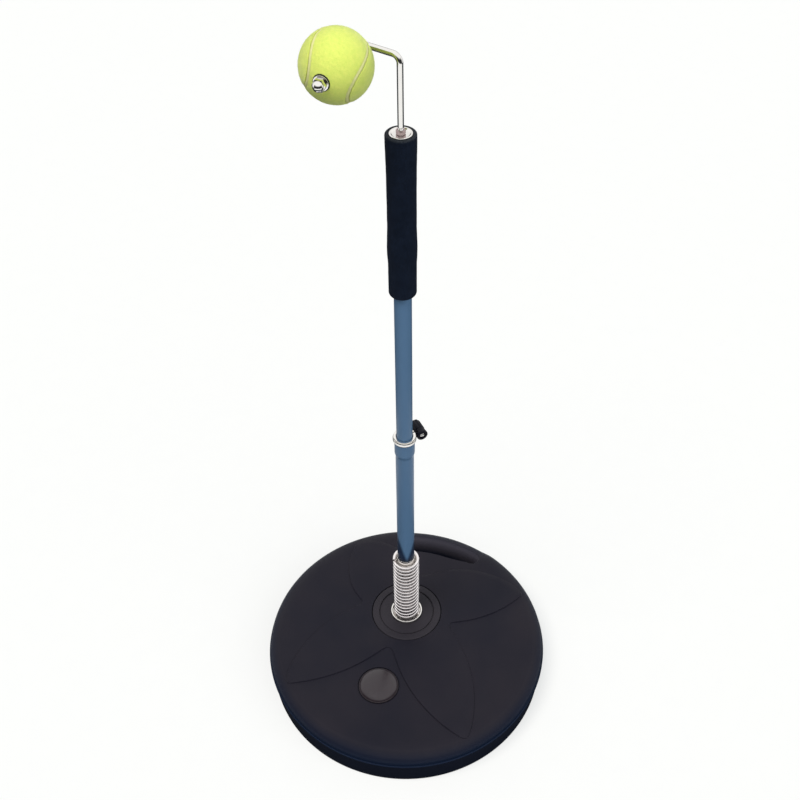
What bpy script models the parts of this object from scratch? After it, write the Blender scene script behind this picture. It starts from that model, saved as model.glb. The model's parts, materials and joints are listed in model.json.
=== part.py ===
"""Tennis swing trainer: a ball on a bent rod, on a telescoping pole that a coil spring
holds upright on a round, fillable base.

Metres, +Z up.  The origin is on the floor under the middle of the base.  The pole stands
behind the middle, at y = POLE_BACK.
"""
import math

import bmesh
import bpy
import numpy as np
from mathutils import Matrix, Vector

# Fits
GAP = 0.0003                  # running or seating clearance between neighbouring pieces
EDGE_EASE = 0.0006            # eased edge of a turned piece
OVERCUT = 0.004               # how far a cutter runs past what it cuts

# Base, a hollow blow moulding
BASE_RADIUS = 0.188           # over the parting lip
BASE_HEIGHT = 0.060           # flat top above the floor
BASE_WALL = 0.003
SHOULDER_WIDTH = 0.026
SHOULDER_DROP = 0.016
LIP_DROP = 0.0205             # middle of the parting lip below the top
LIP_HALF = 0.0013
LIP_PROUD = 0.0014
SKIRT_TAPER = 0.004           # how far the wall draws in from the lip to the floor
FOOT_FILLET = 0.005
FOOT_WIDTH = 0.030            # flat ring that the base stands on
PANEL_RAISE = 0.003           # underside panel above the floor
POLE_BACK = 0.035             # pole axis behind the middle of the base

# Relief on the top: four petals that grow from the pole towards the rim
PETAL_RAISE = 0.0010
VALLEY_MARGIN = 0.0165        # from the socket disc to where two petals meet
PETAL_VALLEY_ANGLES = (-19.0, 70.0, 165.5, 248.0, 341.0)
PETAL_TIP_INSET = 0.013       # petal tips in from the rim
PETAL_TIP_ANGLES = (22.0, 113.0, 206.0, 295.8)
PETAL_WAIST = 0.111           # length over which a petal's side swings once inwards
PETAL_SWEEP = 0.95            # power of that swing
PETAL_TIP_EASE = 0.052        # rounding of the tips, as a share of a petal's half width
PETAL_VALLEY_EASE = 0.022     # rounding where two petals meet
PETAL_POINTS = 9              # points along each side of a petal

# Carrying slot near the rim
SLOT_INSET = 0.0350           # middle of the slot in from the rim
SLOT_HALF = 0.0110
SLOT_FROM = 53.0
SLOT_TO = 87.0
SLOT_FLARE = 0.0090           # rounding of the grip bar at the top
SLOT_INNER_FLARE = 0.15       # share of it on the side towards the pole
SLOT_FOOT_FLARE = 0.003
BAR_BRIM = 7.0                # degrees over which the dip of the grip bar ends
BAR_DROP = 0.0030             # how far the grip bar dips below the rest of the shoulder
BAR_STATIONS = 9

# Filling hole and its plug
FILL_PLACE = (-0.036, -0.082)
FILL_RADIUS = 0.0200
FILL_NECK = 0.013             # depth of the neck below the seat
CAP_RADIUS = 0.0258
CAP_RIM = 0.0022
CAP_EASE = 0.0008             # eased edges of the cap's rim and the skirt's foot
CAP_DOME = 0.0045
CAP_SEAT_DEPTH = 0.0020
CAP_SEAT_MARGIN = 0.0016
PLUG_WALL = 0.0022
PLUG_DEPTH = 0.0125
SEAL_SECTION = 0.0024
SEAL_DROP = 0.0055            # top of the seal groove below the cap

# Socket disc that carries the spring
DISC_RADIUS = 0.0474
DISC_POCKET_GAP = 0.0007      # the groove that shows round the disc
DISC_DEPTH = 0.0100           # its pocket's floor below the top
DISC_PROUD = 0.0004           # over the petals
DISC_RIM_WIDTH = 0.0102
DISC_DISH = 0.0010
DISC_WALL = 0.0030
DISC_BOSS = 0.0225
DISC_EDGE = 0.0012

# Bolt recess under the base
RECESS_MOUTH = 0.034
RECESS_TOP = 0.0185
SOCKET_FLOOR = 0.0100         # material between the recess and the disc's pocket

# Base bolt
BOLT_RADIUS = 0.0050
BOLT_HEAD_FLATS = 0.017
BOLT_HEAD_HEIGHT = 0.0064
WASHER_RADIUS = 0.0155
WASHER_THICK = 0.0020
BOLT_IN_PLUG = 0.020          # how far the bolt reaches into the steel plug

# Spring and what holds it
WIRE = 0.0042
COIL_RADIUS = 0.01535         # to the middle of the wire
SPRING_LENGTH = 0.1202
ACTIVE_TURNS = 15.5
CLOSED_TURNS = 1.0            # at each end
CLOSED_GAP = 0.0006           # between the wires of a closed turn
TURN_POINTS = 10
CUP_RADIUS = 0.0214
CUP_WALL = 0.0024
CUP_FLOOR = 0.0015
CUP_RIM = 0.0032              # rim over its floor
SPRING_PLUG_HEIGHT = 0.026
SPRING_PLUG_CHAMFER = 0.002
SLEEVE_TOP_PROUD = 0.0032     # sleeve over the top turn
SLEEVE_LENGTH = 0.035
SLEEVE_FLOOR = 0.003
PIN_RADIUS = 0.0020
PIN_HEIGHT = 0.012            # over the sleeve's underside
PIN_SINK = 0.0002             # pin ends below the sleeve's surface

# Pole
LOWER_RADIUS = 0.0110
LOWER_WALL = 0.0012
LOWER_LENGTH = 0.2568
BELL_RADIUS = 0.0121
BELL_LENGTH = 0.0260
BELL_TAPER = 0.0050
BELL_SLIT = 0.0024
BELL_SLIT_START = 0.004       # over the foot of the widened top
UPPER_RADIUS = 0.0095
UPPER_WALL = 0.0011
UPPER_LENGTH = 0.5058
TUBE_OVERLAP = 0.1083         # upper tube inside the lower one, as it is clamped here
BUSH_LENGTH = 0.022
FOOT_FLANGE = 0.003
FOOT_SPIGOT = 0.012
FOOT_BUSH_WALL = 0.0015

# Clamp at the joint of the two tubes
COLLAR_HEIGHT = 0.0090
COLLAR_WALL = 0.0008
COLLAR_BEAD = 0.0005
COLLAR_LIP = 0.0010
COLLAR_SLIT = 0.0016
EAR_ANGLE = 26.0              # the ears point to the right and a little back
EAR_THICK = 0.0012
EAR_REACH = 0.0038            # past the bolt
EAR_ROUND = 0.4               # rounding of the ears' free ends, as a share of their height
CLAMP_BOLT_PLACE = 0.0208     # bolt axis from the pole axis
CLAMP_BOLT_RADIUS = 0.0025
CLAMP_HEAD_RADIUS = 0.0036
CLAMP_HEAD_HEIGHT = 0.0020
HEAD_CUP_RADIUS = 0.0068      # black cup round the bolt's head
HEAD_CUP_FLOOR = 0.0012
HEAD_CUP_SINK = 0.0003        # rim of the cup over the head
KNOB_RADIUS = 0.0068
KNOB_LENGTH = 0.0152
KNOB_FLUTES = 8
KNOB_FLUTE_DEPTH = 0.0007
KNOB_EASE = 0.0008            # eased end next to the washer
KNOB_NOSE = 0.0025            # length of the rounded far end
KNOB_FACE = 0.76              # flat of the far end, as a share of the radius
KNOB_BORE_DEPTH = 0.0115
KNOB_WASHER_RADIUS = 0.0052
KNOB_WASHER_THICK = 0.0010
INSERT_RADIUS = 0.0042
INSERT_LENGTH = 0.0065

# Grip and the head of the pole
GRIP_RADIUS = 0.0148
GRIP_LENGTH = 0.1870
GRIP_OVER_DISC = 0.0019       # its end over the head disc's underside
GRIP_SWELL = 0.0007           # the fuller ring in the lower third and the flared top
GRIP_SWELL_HEIGHT = 0.0570    # middle of that ring over the grip's foot
GRIP_SWELL_FLAT = 0.0080      # its full part
GRIP_SWELL_RISE = 0.0100      # from the plain grip up to it, below
GRIP_SWELL_FALL = 0.0240      # and above
GRIP_FLARE = 0.0006
GRIP_FLARE_START = 0.0450     # below the grip's top
GRIP_FLARE_FULL = 0.0120
GRIP_FOOT_ROUND = 0.0050
GRIP_TOP_ROUND = 0.0016
HEAD_DISC_RADIUS = 0.0113
HEAD_DISC_THICK = 0.0012
HEAD_DISC_RIM = 0.0012
HEAD_DISC_RIM_WIDTH = 0.0016
HEAD_DISC_EASE = 0.0004
HEAD_DISC_SLOPE = 0.0014      # width of the slope from its rim to its flat
PLUG_FLANGE = 0.0015
PLUG_SPIGOT = 0.018

# Rod
ROD_RADIUS = 0.0030
STUD_RADIUS = 0.0025
ROD_RISE = 0.0724             # middle of the level part over the lock nut
ROD_BEND = 0.0075
BACK_BEND = 0.0060
LEG_ANGLE = 147.0             # level part, seen from above
LEG_LENGTH = 0.0463
AXLE_ANGLE = 250.0            # the axle points to the front and a little to the left
BEND_STEPS = 9
STUD_PAST_NUT = 0.0015
LOCK_NUT_FLATS = 0.0080
LOCK_NUT_HEIGHT = 0.0045
INNER_NUT_HEIGHT = 0.0040
STOP_NUT_FLATS = 0.0100
STOP_NUT_HEIGHT = 0.0027

# Ball
BALL_RADIUS = 0.0330
BALL_BEHIND = 0.0460          # ball centre from the back corner of the rod
FELT = 0.0033
CORE_WALL = 0.0035
SEAM_WIDTH = 0.0027
SEAM_SINK = 0.0004            # the seam lies under the felt
SEAM_BEND = 0.44              # how far the seam curve swings, as a share of the radius
SEAM_STEPS = 42
SEAM_TURN = (-2.8, -17.0, 116.7)   # seam about the axle, degrees about X, Y and Z
HUB_RADIUS = 0.0052
HUB_FLANGE_RADIUS = 0.0078
HUB_FLANGE = 0.0008
HUB_SINK = 0.0014             # flange underside below the ball's own surface
BALL_WASHER_RADIUS = 0.0072
BALL_WASHER_THICK = 0.0010
DOME_NUT_FLATS = 0.0110
DOME_NUT_HEX = 0.0048
DOME_NUT_HEIGHT = 0.0098
DOME_INSET = 0.0003           # dome within the flats

# Facets
FINE_STEPS = 52
ROUND_STEPS = 24
SMALL_STEPS = 16
ARC_STEPS = 5


def clear_scene():
    for thing in list(bpy.data.objects):
        bpy.data.objects.remove(thing, do_unlink=True)


def finish(name, color, roughness, metallic=0.0):
    surface = bpy.data.materials.new(name)
    surface.use_nodes = True
    shader = surface.node_tree.nodes["Principled BSDF"]
    shader.inputs["Base Color"].default_value = (*color, 1.0)
    shader.inputs["Roughness"].default_value = roughness
    shader.inputs["Metallic"].default_value = metallic
    return surface


def add_piece(name, bm, surface, at=(0.0, 0.0, 0.0), turn=None):
    """Close a bmesh into a named object, placed by location and rotation."""
    bmesh.ops.recalc_face_normals(bm, faces=bm.faces)
    mesh = bpy.data.meshes.new(name)
    bm.to_mesh(mesh)
    bm.free()
    mesh.materials.append(surface)
    mesh.shade_smooth()
    mesh.set_sharp_from_angle(angle=math.radians(35))
    piece = bpy.data.objects.new(name, mesh)
    bpy.context.collection.objects.link(piece)
    piece.location = at
    if turn is not None:
        piece.rotation_euler = turn.to_euler()
    return piece


def shape_with(piece, tool, operation="DIFFERENCE"):
    """Cut a piece with a tool, or join or intersect the two; the tool stays as a guide."""
    step = piece.modifiers.new(tool.name, "BOOLEAN")
    step.operation = operation
    step.solver = "EXACT"
    step.object = tool
    tool.hide_render = True
    tool.display_type = "WIRE"
    return piece


def turned(profile, steps=ROUND_STEPS):
    """Revolve (radius, height) points about Z; a profile off the axis closes into a ring."""
    bm = bmesh.new()
    points = [bm.verts.new((radius, 0.0, height)) for radius, height in profile]
    edges = [bm.edges.new(pair) for pair in zip(points, points[1:])]
    if profile[0][0] > 0.0:
        edges.append(bm.edges.new((points[-1], points[0])))
    bmesh.ops.spin(bm, geom=points + edges, axis=(0, 0, 1), angle=math.tau, steps=steps,
                   use_merge=True)
    bmesh.ops.remove_doubles(bm, verts=bm.verts, dist=1e-6)
    return bm


def lofted(loops):
    """Join loops of equal point counts into one closed skin with flat ends."""
    bm = bmesh.new()
    rings = [[bm.verts.new(point) for point in loop] for loop in loops]
    count = len(rings[0])
    for low, high in zip(rings, rings[1:]):
        for i in range(count):
            j = (i + 1) % count
            bm.faces.new((low[i], low[j], high[j], high[i]))
    bm.faces.new(rings[0])
    bm.faces.new(rings[-1])
    return bm


def extruded(outline, low, high):
    return lofted([[(x, y, z) for x, y in outline] for z in (low, high)])


def block(size, middle):
    bm = bmesh.new()
    bmesh.ops.create_cube(bm, size=1.0, matrix=Matrix.Translation(middle) @ Matrix.Diagonal((*size, 1.0)))
    return bm


def rod(radius, low, high, steps=SMALL_STEPS):
    return turned([(0.0, low), (radius, low), (radius, high), (0.0, high)], steps)


def ring(inner, outer, low, high, steps=ROUND_STEPS):
    return turned([(inner, low), (outer, low), (outer, high), (inner, high)], steps)


def arc(middle, radii, start, stop, steps=ARC_STEPS):
    """Points of an elliptic arc in the (radius, height) plane, angles in degrees."""
    angles = np.radians(np.linspace(start, stop, steps + 1))
    return [(middle[0] + radii[0] * math.cos(a), middle[1] + radii[1] * math.sin(a)) for a in angles]


def aim(direction):
    """Rotation that takes local +Z to a direction."""
    return Vector(direction).to_track_quat("Z", "Y").to_matrix()


def level(angle):
    """Unit vector in the floor plane."""
    return Vector((math.cos(math.radians(angle)), math.sin(math.radians(angle)), 0.0))


# Places that several pieces share
POLE = Vector((0.0, POLE_BACK, 0.0))
PETAL_TOP = BASE_HEIGHT + PETAL_RAISE
LIP_HEIGHT = BASE_HEIGHT - LIP_DROP
PETAL_VALLEY = DISC_RADIUS + VALLEY_MARGIN
PETAL_TIP = BASE_RADIUS - PETAL_TIP_INSET
SLOT_RADIUS = BASE_RADIUS - SLOT_INSET
DISC_SEAT = BASE_HEIGHT - DISC_DEPTH
RECESS_HEIGHT = DISC_SEAT - SOCKET_FLOOR
CUP_SEAT = PETAL_TOP + DISC_PROUD - DISC_DISH + GAP
CUP_FLOOR_TOP = CUP_SEAT + CUP_FLOOR
SPRING_FOOT = CUP_FLOOR_TOP + GAP
SPRING_TOP = SPRING_FOOT + SPRING_LENGTH
COIL_INNER = COIL_RADIUS * math.cos(math.pi / TURN_POINTS) - WIRE / 2
SLEEVE_TOP = SPRING_TOP + SLEEVE_TOP_PROUD
SLEEVE_FOOT = SLEEVE_TOP - SLEEVE_LENGTH
LOWER_FOOT = SLEEVE_FOOT + SLEEVE_FLOOR + GAP
LOWER_TOP = LOWER_FOOT + LOWER_LENGTH
BELL_INNER = BELL_RADIUS - LOWER_WALL
COLLAR_TOP = LOWER_TOP + GAP + COLLAR_LIP
CLAMP_HEIGHT = COLLAR_TOP - COLLAR_HEIGHT / 2
EAR_FACE = COLLAR_SLIT / 2 + EAR_THICK
UPPER_FOOT = LOWER_TOP - TUBE_OVERLAP
UPPER_TOP = UPPER_FOOT + UPPER_LENGTH
HEAD_DISC_FOOT = UPPER_TOP + GAP + PLUG_FLANGE + GAP
GRIP_TOP = HEAD_DISC_FOOT + GRIP_OVER_DISC
GRIP_FOOT = GRIP_TOP - GRIP_LENGTH
LOCK_NUT_FOOT = HEAD_DISC_FOOT + HEAD_DISC_THICK + GAP
LOCK_NUT_TOP = LOCK_NUT_FOOT + LOCK_NUT_HEIGHT
INNER_NUT_TOP = UPPER_TOP - PLUG_SPIGOT - GAP
STUD_FOOT = INNER_NUT_TOP - INNER_NUT_HEIGHT - STUD_PAST_NUT
ROD_HEIGHT = LOCK_NUT_TOP + ROD_RISE
ROD_CORNER = POLE + level(LEG_ANGLE) * LEG_LENGTH + Vector((0.0, 0.0, ROD_HEIGHT))
AXLE = level(AXLE_ANGLE)
BALL_PLACE = ROD_CORNER + AXLE * BALL_BEHIND
HUB_SEAT = BALL_RADIUS - HUB_SINK
HUB_END = HUB_SEAT + HUB_FLANGE
BALL_WASHER_FOOT = HUB_END + GAP
BALL_NUT_FOOT = BALL_WASHER_FOOT + BALL_WASHER_THICK + GAP


def base_profile(inset, steps):
    """Outline of the base from its underside to its top, drawn in by an inset."""
    foot = BASE_RADIUS - SKIRT_TAPER - inset
    fillet = FOOT_FILLET
    wall = BASE_RADIUS - LIP_PROUD - inset
    panel = BASE_RADIUS - SKIRT_TAPER - FOOT_FILLET - FOOT_WIDTH
    points = [(0.0, PANEL_RAISE + inset), (panel - PANEL_RAISE + inset, PANEL_RAISE + inset)]
    points += [(panel + inset, inset)]
    points += arc((foot - fillet, fillet + inset), (fillet, fillet), -90, 0, steps // 2)
    points += [(wall, LIP_HEIGHT - LIP_HALF)]
    if inset == 0.0:
        points += [(BASE_RADIUS, LIP_HEIGHT - LIP_HALF / 3), (BASE_RADIUS, LIP_HEIGHT + LIP_HALF / 3)]
    points += [(wall, LIP_HEIGHT + LIP_HALF)]
    shoulder = (wall - SHOULDER_WIDTH + LIP_PROUD, BASE_HEIGHT - SHOULDER_DROP - inset)
    points += arc(shoulder, (SHOULDER_WIDTH - LIP_PROUD, SHOULDER_DROP), 0, 90, steps)
    return points + [(0.0, BASE_HEIGHT - inset)]


def eased(value, ease):
    """A value that leaves zero smoothly, as a rounded corner does."""
    return math.hypot(value, ease) - ease


def petal_outline():
    """Four petals about the pole: each side falls from a tip to the valley beside it."""
    pole = Vector(POLE.xy)
    outline = []
    for k, tip_angle in enumerate(PETAL_TIP_ANGLES):
        tip = Vector(level(tip_angle).xy) * PETAL_TIP - pole
        reach = tip.length
        axis = math.degrees(math.atan2(tip.y, tip.x)) % 360.0
        for valley, sign in ((PETAL_VALLEY_ANGLES[k], -1), (PETAL_VALLEY_ANGLES[k + 1], 1)):
            width = abs(valley - axis)
            rise = reach - PETAL_VALLEY
            steps = np.linspace(1.0, 0.0, PETAL_POINTS, endpoint=False)
            if sign > 0:
                steps = 1.0 - steps
            for step in steps:
                share = (1.0 - math.cos(math.pi * step)) / 2
                swing = eased(share, PETAL_TIP_EASE) / eased(1.0, PETAL_TIP_EASE)
                side = rise * (1.0 - swing ** PETAL_SWEEP) ** (rise / PETAL_WAIST)
                side = rise * eased(side, PETAL_VALLEY_EASE) / eased(rise, PETAL_VALLEY_EASE)
                outward = level(axis + sign * share * width).xy
                outline.append(pole + outward * (PETAL_VALLEY + side))
    return outline


def slot_outline(grow, flare):
    """Arc-shaped slot with round ends, grown all round and flared mostly outwards."""
    half = SLOT_HALF + grow + flare * (1.0 + SLOT_INNER_FLARE) / 2
    middle = SLOT_RADIUS + flare * (1.0 - SLOT_INNER_FLARE) / 2
    outline = []
    for angle in np.linspace(SLOT_FROM, SLOT_TO, 6):
        outline.append(level(angle).xy * (middle + half))
    for turn in (45, 90, 135):
        outline.append(level(SLOT_TO).xy * middle + level(SLOT_TO + turn).xy * half)
    for angle in np.linspace(SLOT_TO, SLOT_FROM, 6):
        outline.append(level(angle).xy * (middle - half))
    for turn in (225, 270, 315):
        outline.append(level(SLOT_FROM).xy * middle + level(SLOT_FROM + turn).xy * half)
    return outline


def slot_loft(grow, spare):
    """The slot's walls from under the base to over it, flared where they meet its faces."""
    stations = [(-spare, SLOT_FOOT_FLARE), (0.0, SLOT_FOOT_FLARE), (2 * SLOT_FOOT_FLARE, 0.0)]
    for turn in (0, 30, 55, 75):
        rise = SLOT_FLARE * math.sin(math.radians(turn))
        flare = SLOT_FLARE * (1.0 - math.cos(math.radians(turn)))
        stations.append((BASE_HEIGHT - SLOT_FLARE + rise, flare))
    stations.append((BASE_HEIGHT + spare, SLOT_FLARE))
    return lofted([[(x, y, z) for x, y in slot_outline(grow, flare)] for z, flare in stations])


def petal_cover():
    """The base's top and shoulder, raised, which gives the petals their upper face."""
    steps = ARC_STEPS + 1
    top = base_profile(0.0, steps)[-steps - 2:]
    low = top[0][1] - OVERCUT
    return [(0.0, low), (top[0][0], low)] + [(radius, height + PETAL_RAISE) for radius, height in top]


def bar_loft(depth):
    """What is taken off over the grip bar: all above its dipped shoulder, or above a depth under it."""
    wall = BASE_RADIUS - LIP_PROUD
    outside = BASE_RADIUS + OVERCUT
    above = BASE_HEIGHT + OVERCUT
    loops = []
    for angle in np.linspace(SLOT_FROM - BAR_BRIM, SLOT_TO + BAR_BRIM, BAR_STATIONS):
        past_end = max(SLOT_FROM - angle, angle - SLOT_TO, 0.0) / BAR_BRIM
        dip = (BAR_DROP + GAP) * (0.5 + 0.5 * math.cos(math.pi * past_end)) - GAP
        middle = (wall - SHOULDER_WIDTH + LIP_PROUD, BASE_HEIGHT - SHOULDER_DROP - dip - depth)
        curve = arc(middle, (SHOULDER_WIDTH - LIP_PROUD - depth, SHOULDER_DROP), 90, 0, ARC_STEPS + 1)
        section = [(SLOT_RADIUS - SLOT_HALF / 2, BASE_HEIGHT + GAP - depth)] + curve
        section += [(outside, curve[-1][1]), (outside, above), (SLOT_RADIUS - SLOT_HALF / 2, above)]
        loops.append([(*(level(angle).xy * radius), height) for radius, height in section])
    return lofted(loops)


def make_base(plastic):
    """Hollow base with its petals, spring socket, bolt recess, carrying slot and neck."""
    over = OVERCUT
    shell = add_piece("base_shell", turned(base_profile(0.0, ARC_STEPS + 1), FINE_STEPS), plastic)
    petals = extruded(petal_outline(), BASE_HEIGHT - over, PETAL_TOP + over)
    petals = add_piece("guide_petals", petals, plastic)
    cover = add_piece("guide_petal_cover", turned(petal_cover(), FINE_STEPS), plastic)
    shape_with(petals, cover, "INTERSECT")
    shape_with(shell, petals, "UNION")

    hollow = turned(base_profile(BASE_WALL, ARC_STEPS - 2), FINE_STEPS // 2)
    hollow = add_piece("guide_hollow", hollow, plastic)
    socket = [(0.0, -over), (RECESS_MOUTH + BASE_WALL, -over), (RECESS_MOUTH + BASE_WALL, 0.0),
              (RECESS_TOP + BASE_WALL, RECESS_HEIGHT)]
    pocket_radius = DISC_RADIUS + DISC_POCKET_GAP
    socket += [(pocket_radius + BASE_WALL, DISC_SEAT - BASE_WALL),
               (pocket_radius + BASE_WALL, PETAL_TOP), (0.0, PETAL_TOP)]
    kept_socket = add_piece("guide_socket", turned(socket), plastic, POLE)
    kept_slot = add_piece("guide_slot_walls", slot_loft(BASE_WALL, over), plastic)
    kept_bar = add_piece("guide_bar_wall", bar_loft(BASE_WALL), plastic)
    seat_floor = BASE_HEIGHT - CAP_SEAT_DEPTH
    seat_radius = CAP_RADIUS + CAP_SEAT_MARGIN
    neck_foot = seat_floor - FILL_NECK
    neck = [(0.0, neck_foot), (FILL_RADIUS + BASE_WALL, neck_foot),
            (FILL_RADIUS + BASE_WALL, seat_floor - BASE_WALL),
            (seat_radius + BASE_WALL, seat_floor - BASE_WALL),
            (seat_radius + BASE_WALL, PETAL_TOP), (0.0, PETAL_TOP)]
    kept_neck = add_piece("guide_neck_walls", turned(neck), plastic, (*FILL_PLACE, 0.0))
    for kept in (kept_socket, kept_slot, kept_bar, kept_neck):
        shape_with(hollow, kept)
    shape_with(shell, hollow)

    pocket = rod(pocket_radius, DISC_SEAT, PETAL_TOP + over, ROUND_STEPS)
    pocket = add_piece("guide_pocket", pocket, plastic, POLE)
    slope = (RECESS_MOUTH - RECESS_TOP) / RECESS_HEIGHT
    recess = turned([(0.0, -over), (RECESS_MOUTH + slope * over, -over), (RECESS_TOP, RECESS_HEIGHT),
                     (0.0, RECESS_HEIGHT)])
    recess = add_piece("guide_recess", recess, plastic, POLE)
    bolt_hole = rod(BOLT_RADIUS + GAP, RECESS_HEIGHT - over, DISC_SEAT + over)
    bolt_hole = add_piece("guide_bolt_hole", bolt_hole, plastic, POLE)
    slot = add_piece("guide_slot", slot_loft(0.0, over), plastic)
    dip = add_piece("guide_bar_dip", bar_loft(0.0), plastic)
    mouth = turned([(0.0, neck_foot - over), (FILL_RADIUS, neck_foot - over), (FILL_RADIUS, seat_floor),
                    (seat_radius, seat_floor), (seat_radius, BASE_HEIGHT + over), (0.0, BASE_HEIGHT + over)])
    mouth = add_piece("guide_mouth", mouth, plastic, (*FILL_PLACE, 0.0))
    for tool in (pocket, recess, bolt_hole, dip, slot, mouth):
        shape_with(shell, tool)
    shell.modifiers.new("flat_shading", "WEIGHTED_NORMAL")


def make_fill_plug(gloss, rubber):
    """Domed push-in plug with a hollow skirt, and the seal ring in its groove."""
    seat = BASE_HEIGHT - CAP_SEAT_DEPTH + GAP
    skirt = FILL_RADIUS - 2 * GAP
    groove_top = seat - SEAL_DROP
    groove_foot = groove_top - SEAL_SECTION - 2 * GAP
    groove = skirt - SEAL_SECTION
    foot = seat - PLUG_DEPTH
    rim = CAP_EASE
    dome = arc((0.0, seat + CAP_RIM), (CAP_RADIUS - rim, CAP_DOME), 0, 90, 4)
    inner = skirt - PLUG_WALL - SEAL_SECTION
    profile = [(0.0, seat), (inner, seat), (inner, foot)]
    profile += [(skirt - rim, foot), (skirt, foot + rim), (skirt, groove_foot), (groove, groove_foot)]
    profile += [(groove, groove_top), (skirt, groove_top), (skirt, seat), (CAP_RADIUS, seat)]
    profile += [(CAP_RADIUS, seat + CAP_RIM - rim), (CAP_RADIUS - rim / 3, seat + CAP_RIM)]
    profile += dome[:-1] + [(0.0, seat + CAP_RIM + CAP_DOME)]
    add_piece("fill_plug", turned(profile), gloss, (*FILL_PLACE, 0.0))
    seal = ring(groove + GAP, skirt + GAP, groove_foot + GAP, groove_top - GAP)
    add_piece("plug_seal", seal, rubber, (*FILL_PLACE, 0.0))


def make_socket(plastic, steel, chrome):
    """Socket disc, the cup and plug that hold the spring's foot, and the bolt from below."""
    top = PETAL_TOP + DISC_PROUD
    dish = top - DISC_DISH
    seat = DISC_SEAT + GAP
    inner_rim = DISC_RADIUS - DISC_RIM_WIDTH
    bore = BOLT_RADIUS + GAP
    profile = [(bore, seat), (DISC_BOSS, seat), (DISC_BOSS, dish - DISC_WALL)]
    profile += [(DISC_RADIUS - DISC_WALL, dish - DISC_WALL), (DISC_RADIUS - DISC_WALL, seat)]
    profile += [(DISC_RADIUS, seat), (DISC_RADIUS, top - DISC_EDGE)]
    profile += arc((DISC_RADIUS - DISC_EDGE, top - DISC_EDGE), (DISC_EDGE, DISC_EDGE), 0, 90, 3)[1:]
    profile += [(inner_rim + DISC_DISH, top), (inner_rim, dish), (bore, dish)]
    add_piece("center_disc", turned(profile), plastic, POLE)

    rim_top = CUP_FLOOR_TOP + CUP_RIM
    cup = [(bore, CUP_SEAT), (CUP_RADIUS - EDGE_EASE, CUP_SEAT), (CUP_RADIUS, CUP_SEAT + EDGE_EASE)]
    middle = CUP_RADIUS - CUP_WALL / 2
    cup += arc((middle, rim_top - CUP_WALL / 2), (CUP_WALL / 2, CUP_WALL / 2), 0, 180, 4)
    cup += [(CUP_RADIUS - CUP_WALL, CUP_FLOOR_TOP), (bore, CUP_FLOOR_TOP)]
    add_piece("spring_cup", turned(cup), chrome, POLE)

    foot = CUP_FLOOR_TOP + GAP
    bore_top = CUP_FLOOR_TOP + BOLT_IN_PLUG + 2 * GAP
    plug_radius = COIL_INNER - GAP
    plug_top = foot + SPRING_PLUG_HEIGHT
    plug = [(bore, foot), (plug_radius, foot), (plug_radius, plug_top - SPRING_PLUG_CHAMFER)]
    plug += [(plug_radius - SPRING_PLUG_CHAMFER, plug_top), (0.0, plug_top)]
    plug = [(0.0, bore_top), (bore, bore_top)] + plug
    add_piece("spring_plug", turned(plug, SMALL_STEPS), steel, POLE)

    washer_foot = RECESS_HEIGHT - GAP - WASHER_THICK
    washer = ring(bore, WASHER_RADIUS, washer_foot, RECESS_HEIGHT - GAP, SMALL_STEPS)
    add_piece("bolt_washer", washer, steel, POLE)
    head_top = washer_foot - GAP
    bolt = hexagon(BOLT_HEAD_FLATS, head_top - BOLT_HEAD_HEIGHT, head_top)
    bolt = add_piece("base_bolt", bolt, steel, POLE)
    shank = rod(BOLT_RADIUS, head_top - BOLT_HEAD_HEIGHT / 2, bore_top - GAP)
    shape_with(bolt, add_piece("guide_base_shank", shank, steel, POLE), "UNION")


def hexagon(flats, low, high):
    """Hexagonal prism with its corners eased at both ends."""
    corner = flats / math.sqrt(3.0)
    ease = corner - flats / 2
    profile = [(0.0, low), (corner - ease, low), (corner, low + ease), (corner, high - ease)]
    return turned(profile + [(corner - ease, high), (0.0, high)], 6)


def spring_line():
    """Middle of the wire: closed turns at the ends, even turns between, one line."""
    low = SPRING_FOOT + WIRE / 2
    high = SPRING_TOP - WIRE / 2
    closed = WIRE + CLOSED_GAP
    pitch = (high - low - 2 * CLOSED_TURNS * closed) / ACTIVE_TURNS
    turns = ACTIVE_TURNS + 2 * CLOSED_TURNS
    points = []
    for turn in np.linspace(0.0, turns, int(turns * TURN_POINTS) + 1):
        below = min(turn, CLOSED_TURNS) * closed
        between = min(max(turn - CLOSED_TURNS, 0.0), ACTIVE_TURNS) * pitch
        above = max(turn - CLOSED_TURNS - ACTIVE_TURNS, 0.0) * closed
        angle = math.tau * turn
        height = low + below + between + above
        points.append(Vector((COIL_RADIUS * math.cos(angle), COIL_RADIUS * math.sin(angle), height)))
    for end, beside in ((points[0], points[1]), (points[-1], points[-2])):
        along = Vector((end.x - beside.x, end.y - beside.y, 0.0)).normalized()
        tail = end + along * WIRE
        if end is points[0]:
            first = tail
        else:
            last = tail
    return [first] + points + [last]


def make_spring(chrome):
    """The visible spring is one unbroken tube; its least gap to itself is printed."""
    points = spring_line()
    places = np.array([tuple(point) for point in points])
    apart = TURN_POINTS // 2
    least = min(
        float(np.min(np.linalg.norm(places[i + apart:] - places[i], axis=1)))
        for i in range(len(places) - apart)
    )
    print(f"spring: least gap to itself {(least - WIRE) * 1000:.2f} mm")
    add_tube("flex_spring", points, [1.0] * len(points), WIRE / 2, 1, chrome, POLE)


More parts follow.
